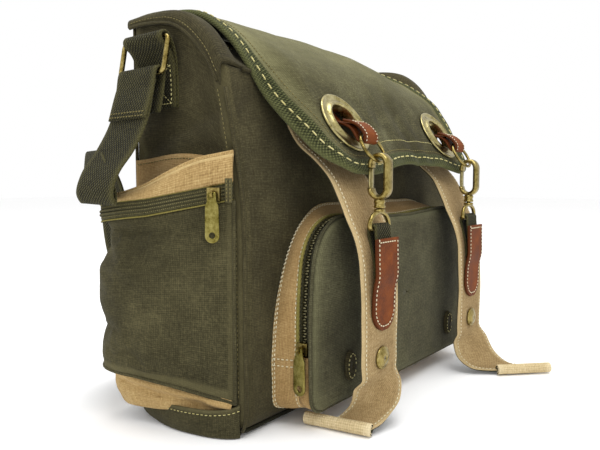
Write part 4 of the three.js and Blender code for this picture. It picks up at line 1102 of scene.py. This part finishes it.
def front_pocket_pad():
    """The pocket's front: a soft pad with rounded edges, its rings shrinking to the middle."""
    lips = full_outline(LIPS)
    scale = [1, 1, 0.992, 0.975, 0.95, 0.9, 0.82, 0.7, 0.58, 0.45, 0.32, 0.18, 0.06, 0.01]
    depth = [-90.6, -92.6, -94.6, -96, -96.9, -97.6, -98.1, -98.5, -98.8, -99, -99.1, -99.1, -99.1, -99.1]
    middle = 86.0
    rows = []
    for r, y in zip(scale, depth):
        edge = ring_at(lips, y, inset=0.2)
        rows.append(xyz(edge[:, 0] * r, y, middle + (edge[:, 2] - middle) * r))
    P = np.array(rows)
    ripple = 1.4 * wobble(P * vec(1, 1, 0.7), 0.022, 21.0) + 0.6 * wobble(P, 0.06, 2.0)
    weight = smooth(np.linspace(0, 1, len(rows)), 0.15, 0.5)[:, None]
    P[..., 1] += ripple * weight + 1.2 * weight * gauss(P[..., 2] - 40, 26)
    flip = faces_away(P, True, (8, 60), (0, -1, 0))
    pad = grid("front_pocket_pad", P, "bag", [PAD], 1.6, flip=flip, closed=True,
               replaced="front_pocket_panel", slot="canvas",
               wear_and_light=down_rows([0, 0.3, 0.6, 0.4, 0.2] + [0] * 9, P))
    box_uv(pad)
    tube("front_pocket_piping", ring_at(lips, -92.4, inset=-0.6), 1.3, "bag", PAD, closed=True)


def stud_patches():
    turn = np.linspace(0, 2 * np.pi, 48, endpoint=False)
    for name, sign in SIDES:
        Q = np.array([xyz(sign * 88 + 7 * r * np.cos(turn), y, 42 + 12 * r * np.sin(turn)) for r,
                      y in ((1.0, -97.6), (0.98, -99.9), (0.9, -100.5), (0.5, -100.7), (0.03, -100.7))])
        flip = faces_away(Q, True, (2, 10), (0, -1, 0))
        patch = grid(f"{name}_stud_patch", Q, "bag", [CANVAS], 1.0, flip=flip, closed=True,
                     replaced=f"{name}_snap_patch", slot="canvas")
        box_uv(patch)
        loop = xyz(sign * 88 + 5 * np.cos(turn), -100.6, 42 + 9.6 * np.sin(turn))
        stitch(loop, (0, -1, 0), "bag", "yellow", lift=0.3)


def box_uv(piece):
    """Lays the weave straight down a piece whose face looks along Y."""
    mesh = piece.data
    layer = mesh.uv_layers[0]
    for loop in mesh.loops:
        p = mesh.vertices[loop.vertex_index].co
        layer.data[loop.index].uv = (p.x + 0.4 * p.y, p.z)


# ---------------------------------------------------------------- zippers
TOOTH_PITCH = 2.05


def zipper(name, path, out, across, half, body, replaced, coil=False):
    """Tape with metal teeth or a covered coil; out points off the bag, across over the tape's width."""
    path = resample(np.concatenate([path, out], 1), 200)
    out, path = unit(path[:, 3:]), path[:, :3]
    across = np.broadcast_to(across, path.shape)
    section = [(-half, -1.2), (-half, -0.2), (-half * 0.55, 0.1), (-2.6, 0.2), (-2.2, -0.5), (2.2, -0.5),
               (2.6, 0.2), (half * 0.55, 0.1), (half, -0.2), (half, -1.2)]
    rings = np.stack([path + across * a + out * h for a, h in section], 1)
    tunnel(name + "_tape", rings, body, [SIDE_TAPE if coil else TAPE], replaced=replaced, slot="zip_tape")
    if coil:
        for side, label in ((-1, "low"), (1, "high")):
            tube(f"{name}_{label}_coil", path + across * side * 1.25 + out * 0.1, 1.15, body, SIDE_TAPE)
            tube(f"{name}_{label}_edge", path + across * side * (half - 0.4) + out * 0.1, 0.55, body,
                 EDGE_TAPE, sides=8)
            for offset in (1.25, 3.6):
                line = path + across * side * offset + out * (1.1 if offset < 2 else 0.15)
                stitch(line, out, body, "olive", pitch=1.5, length=1.0, radius=0.22, lift=0.1)
        return
    s = lengths(path)
    for i in range(int(s[-1] / TOOTH_PITCH)):
        place = i * TOOTH_PITCH + 0.6
        p, o, a = pick(path, s, place), unit(pick(out, s, place)), pick(across, s, place)
        shift = 0.4 if i % 2 else -0.4
        bead((body, "teeth"), p + a * (shift - 2.5), p + a * (shift + 2.5), o, 0.74, sink=-0.1, lift=0.6)
    for side in (-1, 1):
        line = path + across * side * (half - 1.2) + out * 0.05
        stitch(line, out, body, "olive", radius=0.26, lift=0.1)


def pull_plate(name, pivot, out, body, replaced, length=33.5):
    """Long flat pull with a round hole near its foot, hanging from pivot and facing out."""
    out = unit(np.array(out, float))
    wide = np.array([-out[1], out[0], 0])
    foot = 5.0
    half = [(0, 1.6), (2.3, 1.6), (2.9, 0.6), (3.1, -3.5), (3.6, -5.2), (4.7, -8.0), (4.9, -16),
            (5.1, -length + foot + 1)]
    half += [(5.1 * math.cos(a), -length + foot - foot * math.sin(a)) for a in np.linspace(0.1, 1.45, 9)]
    half.append((0, -length))
    outline = resample(np.array(half + [(-u, w) for u, w in half[-2:0:-1]] + [half[0]]), 120)[:-1]
    hole = np.array([0, -length + foot + 0.4])
    away = outline - hole
    far = np.linalg.norm(away, axis=1, keepdims=True)
    away = away / far
    thick = 0.8
    section = [(0.0, -thick + 0.3), (0.0, thick - 0.3), (-0.3, thick), (-0.9, thick), (2.9, thick),
               (2.4, thick), (2.1, thick - 0.3), (2.1, -thick + 0.3), (2.4, -thick), (2.9, -thick),
               (-0.9, -thick), (-0.3, -thick)]
    lines = []
    for r, h in section:
        flat = outline + away * r if r <= 0 else hole + away * r
        lines.append(np.array(pivot) + flat[:, :1] * wide + flat[:, 1:] * vec(0, 0, 1) + h * out)
    tunnel(name, np.stack(lines, 1), body, [OLD_BRASS], closed=True, replaced=replaced, slot="brass")
    bar = np.array(pivot) + np.linspace(-2.3, 2.3, 6)[:, None] * wide
    tube(f"{name}_bar", bar, 0.9, body, OLD_BRASS)


# ---------------------------------------------------------------- side pockets
START, BEND = vec(-168, -54, 176), vec(-199, 2, 164)
WALL = 165.6


def side_plan():
    """x, y and the zipper's height round the left pocket."""
    first = [START + (BEND - START) * f for f in np.linspace(0, 1, 26)[:-1]]
    bulge = crom([(-199, 2), (-207.5, 24), (-207, 43), (-196, 54.5), (-167, 58)], 50)
    height = np.interp(np.linspace(0, 1, 51), [0, 0.6, 1], [164, 158, 160])
    return resample(np.concatenate([first, xyz(bulge[:, 0], bulge[:, 1], height)]), 80)


def outward(plan):
    flat = plan * vec(1, 1, 0)
    t = tangents(flat)
    return xyz(-t[:, 1], t[:, 0], 0)


class Pocket:
    """Plan of one side pocket, worked out on the left and mirrored to its own side."""

    def __init__(self, name, sign):
        self.name, self.sign = name, sign
        self.mirror = vec(-sign, 1, 1)
        self.plan = side_plan()
        self.away = outward(self.plan)
        self.q = np.linspace(0, 1, len(self.plan))

    def spread(self, amount):
        """X of the plan, drawn in or out from the gusset."""
        return -WALL + (self.plan[:, 0] + WALL) * amount

    def moved(self, P, amount):
        """Points pushed outwards by amount, on the pocket's own side."""
        return (P + self.away[None] * amount[..., None]) * self.mirror

    def sheet(self, piece, P, mats, thickness, at, replaced, slot, wear_and_light=None):
        facing = grid_normals(P, False)[at] @ (self.away[at[1]] * self.mirror) < 0
        return grid(f"{self.name}_{piece}", P, "bag", mats, thickness, flip=facing, wear_and_light=wear_and_light,
                    replaced=f"{self.name}_{replaced}", slot=slot)


def pouch_foot(q):
    return np.interp(q, [0, 0.12, 0.3, 0.52, 0.8, 1], [24.8, 29, 35, 41.3, 44, 44])


def pouch(pocket):
    """Soft pouch: pinched and folded, then settled as cloth inside its seams."""
    plan, q = pocket.plan, pocket.q
    low, high = pouch_foot(q), plan[:, 2] - 6.6

    def row(v):
        z = low + (high - low) * v
        pinch = np.interp(z, [20, 38, 46, 60, 75, 95, 120, 133, 146, 158],
                          [0.9, 0.97, 1.04, 1.03, 1.0, 1.06, 1.03, 0.86, 0.8, 0.97])
        return xyz(pocket.spread(1 + (pinch - 1) * smooth(q, 0.15, 0.5)), plan[:, 1], z)

    P = sheet_of(44, row)
    fade = (np.sin(np.pi * np.linspace(0, 1, 44)) ** 0.5)[:, None] * (np.sin(np.pi * q) ** 0.5)[None]
    fold = 3.3 * wobble(P * vec(1, 1, 0.6), 0.024, 31.0) + 1.0 * wobble(P, 0.06, 12.0)
    slope = P[..., 2] - 118 - 0.9 * (P[..., 1] + 10)
    fold = fold - 2.6 * gauss(slope, 9) * smooth(q, 0.3, 0.6) + 1.6 * gauss(slope + 18, 10) * smooth(q, 0.2,
                                                                                                     0.6)
    P = pocket.moved(P, fold * fade)
    P = settle(P, grid_normals(P, False)[20, 30] @ (pocket.away[30] * pocket.mirror) < 0)
    worn = np.zeros(P.shape[:2])
    worn[:3] = 0.7
    worn[:, :3] = 0.4
    piece = pocket.sheet("pouch", P, [POUCH, LINING], 2.0, (20, 30), "pocket_pouch", "canvas", wear_and_light=worn)
    tube(f"{pocket.name}_pouch_front_seam", P[:, 0] + vec(0, -0.6, 0), 1.3, "bag", POUCH)
    tube(f"{pocket.name}_pouch_hem", P[0] + vec(0, 0, 0.4), 1.4, "bag", POUCH)


def bellows(pocket):
    """Crumpled tan cloth drawn in under the pouch."""
    plan = pocket.plan
    low = np.interp(pocket.q, [0, 0.3, 0.65, 1], [24, 20, 18.5, 26]) - 5
    high = pouch_foot(pocket.q) + 6
    B = sheet_of(30, lambda v: xyz(pocket.spread(0.7 + 0.21 * v ** 0.8), plan[:, 1] * (0.93 + 0.06 * v),
                                   low + (high - low) * v))
    ridge = B[..., 2] - 31 - 0.22 * (B[..., 1] + 10)
    fold = 3.4 * wobble(B * vec(1, 1, 1.6), 0.05, 17.0) + 1.3 * wobble(B, 0.12, 3.0)
    fold = fold + 3.2 * gauss(ridge, 3.2) - 2.6 * gauss(ridge + 7, 3.0)
    B = pocket.moved(B, fold * np.sin(np.pi * np.linspace(0.08, 0.9, 30))[:, None])
    pocket.sheet("bellows", B, [RIM], 1.6, (15, 30), "pocket_bellows", "tan_canvas")


def base_band(pocket):
    """Band turned up from the base."""
    name, sign = pocket.name, pocket.sign
    base = crom([(-166, -57), (-172.5, -52), (-181, -38), (-186.5, -8), (-183, 24), (-174, 44), (-166, 52)],
                60)
    top = np.interp(np.linspace(0, 1, 61), [0, 0.3, 0.65, 1.0], [24, 20, 18.5, 27])

    def row(v):
        lean = 0.86 + 0.16 * math.sin(min(1.0, v * 1.6) * math.pi / 2) - 0.05 * v
        return xyz(-WALL + (base[:, 0] + WALL) * lean, base[:, 1], 0.4 + (top - 0.4) * v)

    C = sheet_of(14, row)
    C[..., 0] -= 1.2 * wobble(C, 0.035, 23.0)
    C = C * pocket.mirror
    flip = grid_normals(C, False)[8, 30][0] * sign < 0
    grid(f"{name}_band", C, "bag", [POUCH, LINING], 2.2, flip=flip, replaced=f"{name}_base_band",
         slot="canvas", wear_and_light=down_rows([0.5] + [0] * 11 + [0.5, 0.9], C))
    stitch(C[-3] + vec(sign * 0.3, -0.2, 0), unit(vec(sign, -0.3, 0)), "bag", "yellow", radius=0.32,
           lift=0.2)


def side_zipper(pocket):
    """Zipper, the stitched tab that stops the slider, and the pull."""
    name, sign = pocket.name, pocket.sign
    path = (pocket.plan + pocket.away * 0.2) * pocket.mirror
    out = pocket.away * pocket.mirror
    zipper(f"{name}_side_zip", path, out, vec(0, 0, 1), 6.6, "bag", f"{name}_pocket_zipper", coil=True)
    along = unit((path[4] - path[0]) * vec(1, 1, 0))
    start = path[0] + along * 2.7 + out[2] * 1.7
    route = [[*(start + vec(0, 0, z)), *along] for z in (-8.4, -3, 3, 8.4)]
    strap(f"{name}_zip_end_tab", route, 5.2, 1.0, 12, "bag", [POUCH], slot="canvas")
    for shift in (-1.2, 1.2):
        rise = np.linspace(-7.6, 7.6, 12)[:, None] * vec(0, 0, 1)
        stitch(start + along * shift + out[2] * 0.55 + rise, out[2], "bag", "olive", pitch=2.6, length=1.8,
               lift=0.3)
    pull_plate(f"{name}_side_pull_plate", vec(sign * 181, -46.6, 173.6), (sign * 0.875, -0.484, 0),
               f"{name}_pull", f"{name}_pocket_pull")


def rim(pocket):
    """A bright facing that leans out and sags towards the back."""
    plan, away, q = pocket.plan, pocket.away, pocket.q
    height = 20.5 - 14.5 * smooth(q, 0.12, 0.6)

    def row(v):
        lean = -2.0 * v - 5.0 * v * v * smooth(q, 0.1, 0.6) + 1.6 * math.sin(math.pi * v)
        return plan * vec(1, 1, 0) + away * (1.2 + lean)[:, None] + xyz(0, 0, plan[:, 2] + 6.2 + height * v)

    R = sheet_of(12, row)
    R = pocket.moved(R, 1.3 * wobble(R, 0.04, 41.0) * np.linspace(0.2, 1, 12)[:, None])
    pocket.sheet("rim", R, [RIM, TAN], 2.0, (6, 30), "pocket_rim", "tan_canvas",
                 wear_and_light=down_rows([0] * 10 + [0.8, 0.8], R))
    tube(f"{pocket.name}_rim_hem", R[-1] - away * pocket.mirror * 0.8, 1.5, "bag", RIM)


def slip_lining(pocket):
    """Tan lining of the slip pocket against the gusset."""
    name, sign = pocket.name, pocket.sign
    y = np.linspace(-52, 55, 40)
    top = 201 + 2.0 * np.cos((y - 2) / 17)
    W = sheet_of(10, lambda v: xyz(sign * (WALL + 1.6 + 2.4 * np.sin(np.pi * v)
                                           * np.sin(np.pi * (y + 52) / 107)), y, 150 + (top - 150) * v))
    flip = grid_normals(W, False)[5, 20][0] * sign < 0
    grid(f"{name}_slip_lining", W, "bag", [TAN], 1.4, flip=flip, replaced=f"{name}_pocket_lining",
         slot="tan_canvas")
    stitch(W[-1] + vec(sign * 0.6, 0, -3.4), (sign, 0, 0), "bag", "olive", lift=0.3)


# ---------------------------------------------------------------- shoulder strap
def over_bar(x, z, bend, angles):
    """Arc of webbing over a bar, as (x, z) points."""
    return [(x + bend * math.cos(a), z + bend * math.sin(a)) for a in np.radians(angles)]


def hung(sign, fall):
    """Route of webbing that keeps to the plane of the rings, its width along Y."""
    return [[sign * x, RING_Y, z, 0, 1, 0] for x, z in fall]


RING_Y = 25
LEFT_ROUTE = [(-195, 25, 226, 0, 1, 0), (-207, 25, 205, 0, 1, 0), (-219.5, 26, 188, 0, 1, 0),
              (-223.5, 27, 174, 0, 1, 0), (-220, 28, 167, 0.03, 1, 0), (-215.5, 32, 172, 0.08, 1, 0),
              (-211, 43, 192, 0.2, 0.98, 0), (-200, 62, 204, 0.3, 0.95, 0), (-184, 80, 203, 0.3, 0.95, 0),
              (-168, 90, 178, 0.15, 0.99, 0), (-154, 94, 120, 0, 1, 0), (-138, 97, 60, 0, 1, 0),
              (-112, 100, 20, 0, 1, 0), (-78, 102, 3.5, 0, 1, 0), (-40, 103, 1.4, 0, 1, 0),
              (20, 104, 1.4, 0, 1, 0), (72, 103, 2.4, 0, 1, 0), (118, 98, 18, 0, 1, 0),
              (144, 93, 48, 0, 1, 0), (156.5, 91, 81, 0, 1, 0), (163.4, 91, 108.6, 0, 1, 0)]
RIGHT_ROUTE = [(197, 31, 236, 0, 1, 0), (203, 46, 222, -0.1, 0.99, 0), (199, 66, 205, -0.2, 0.98, 0),
               (188, 82, 180, -0.1, 0.99, 0), (174, 90, 145, 0, 1, 0), (164.6, 91, 110, 0, 1, 0),
               (158, 91, 84, 0, 1, 0)]


def shoulder_webbing(name, sign, rest):
    wrap = [(184.5, 232), (181, 246), *over_bar(183, 261, 3.9, (175, 135, 95, 55, 15)), (189.6, 247)]
    route = hung(sign, wrap) + [list(r) for r in rest]
    strap(f"{name}_shoulder_webbing", route, 45, 2.0, 260 if sign < 0 else 120, "bag", [WEBBING],
          ripple=0.5, seed=sign, replaced=f"shoulder_strap_{name}", slot="webbing")
    strap(f"{name}_strap_fold", hung(sign, [(187.2, 255), (190.6, 246), (196.6, 227)]), 44.5, 1.8, 24,
          "bag", [WEBBING], slot="webbing")
    for x, z in ((196.9, 232), (197.9, 229)):
        stitch(xyz(sign * x, np.linspace(5, 45, 20), z), (sign, 0, 0.3), "bag", "olive")


def ring_anchor(name, sign):
    """Webbing sewn to the gusset with a box and a cross, and folded over the ring."""
    fall = [(166.6, 237), (166.8, 262), (169.5, 280),
            *over_bar(178, 287, 3.9, (150, 110, 70, 30, -10, -50)), (175, 279.6), (170.4, 270),
            (169.4, 256), (169.2, 237)]
    strap(f"{name}_anchor_webbing", hung(sign, fall), 45, 2.0, 90, "bag", [WEBBING],
          replaced=f"{name}_ring_anchor", slot="webbing")
    corners = [(6, 240), (44, 240), (44, 268), (6, 268), (6, 240), (44, 268), (44, 240), (6, 268)]
    for (y0, z0), (y1, z1) in zip(corners, corners[1:]):
        y, z = np.linspace(y0, y1, 24), np.linspace(z0, z1, 24)
        x = np.interp(z, [237, 256, 270, 276], [170.5, 170.7, 171.8, 174.4])
        stitch(xyz(sign * x, y, z), (sign, 0, 0), "bag", "yellow", lift=0.3)


def strap_ring(name, sign):
    """Rectangular wire ring with rounded corners, hanging from the anchor."""
    down = unit(vec(sign * 5, 0, -26))
    low, high, bend = math.hypot(5, 26) - 4, 4, 4
    loop = []
    for across, along, start in ((21.5, high, 270), (21.5, low, 0), (-21.5, low, 90), (-21.5, high, 180)):
        for a in np.radians(np.linspace(start, start + 90, 8)):
            loop.append(vec(sign * 178, RING_Y + across + bend * math.cos(a), 287) + down
                        * (along + bend * math.sin(a)))
    tube(f"{name}_rectangular_ring", loop, 2.0, f"{name}_ring", DARK_BRASS, closed=True,
         replaced=f"{name}_strap_ring", slot="brass")


# ---------------------------------------------------------------- carried-over metal
def keep_metal():
    names = ["strap_adjuster", "front_pocket_slider"] + [f"{name}_pocket_slider" for name, _ in SIDES]
    for name in names:
        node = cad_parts[name]
        node.data.materials.clear()
        node.data.materials.append(DARK_BRASS if "slider" in name else BRASS)
        bevel = node.modifiers.new("soft_edges", "BEVEL")
        bevel.width = 0.00035
        bevel.segments = 2
        bevel.limit_method = "ANGLE"


# ---------------------------------------------------------------- build
pull_plate("front_pull_plate", (-134.8, -85.8, 62), (-1, 0, 0), "front_pull", "front_pocket_pull")
body_shell()
base_sheet()
roof()
flap_sheet()
flap_binding()
eyelets()
leather_tabs()
closure_straps()
leather_patches()
hook_loops()
hooks()
front_pocket_side()
front_pocket_zipper()
front_pocket_pad()
stud_patches()
for side, direction in SIDES:
    for build in (pouch, bellows, base_band, side_zipper, rim, slip_lining):
        build(Pocket(side, direction))
for side, direction, route_rest in (("left", -1, LEFT_ROUTE), ("right", 1, RIGHT_ROUTE)):
    shoulder_webbing(side, direction, route_rest)
    ring_anchor(side, direction)
    strap_ring(side, direction)
keep_metal()
sew_all()


# ---------------------------------------------------------------- floor and light
def plain(name, colour, rough):
    n = Nodes(name)
    n.bsdf.inputs["Base Color"].default_value = colour
    n.bsdf.inputs["Roughness"].default_value = rough
    return n.mat


def studio():
    mesh = bpy.data.meshes.new("floor")
    size = 6.0
    mesh.from_pydata([(-size, -size, 0), (size, -size, 0), (size, size, 0), (-size, size, 0)], [],
                     [(0, 1, 2, 3)])
    mesh.materials.append(plain("pale_floor", (0.97, 0.97, 0.97, 1), 0.9))
    floor = bpy.data.objects.new("floor", mesh)
    floor.location.z = -0.0005
    bpy.context.scene.collection.objects.link(floor)
    world = bpy.data.worlds.new("studio")
    world.use_nodes = True
    world.node_tree.nodes["Background"].inputs[0].default_value = (1.0, 1.0, 1.0, 1)
    world.node_tree.nodes["Background"].inputs[1].default_value = 1.0
    bpy.context.scene.world = world
    for name, place, power, size in (("key", (-0.6, -0.7, 1.5), 8, 0.6), ("fill", (-1.6, 0.3, 0.9), 3, 1.2),
                                     ("top", (0.1, 0.0, 1.8), 15, 0.9)):
        data = bpy.data.lights.new(name, "AREA")
        data.energy = power
        data.size = size
        lamp = bpy.data.objects.new(name, data)
        lamp.location = place
        lamp.rotation_euler = (Vector((0, 0, 0.15)) - Vector(place)).to_track_quat("-Z", "Y").to_euler()
        bpy.context.scene.collection.objects.link(lamp)
    bpy.context.scene.view_settings.view_transform = "Standard"


studio()
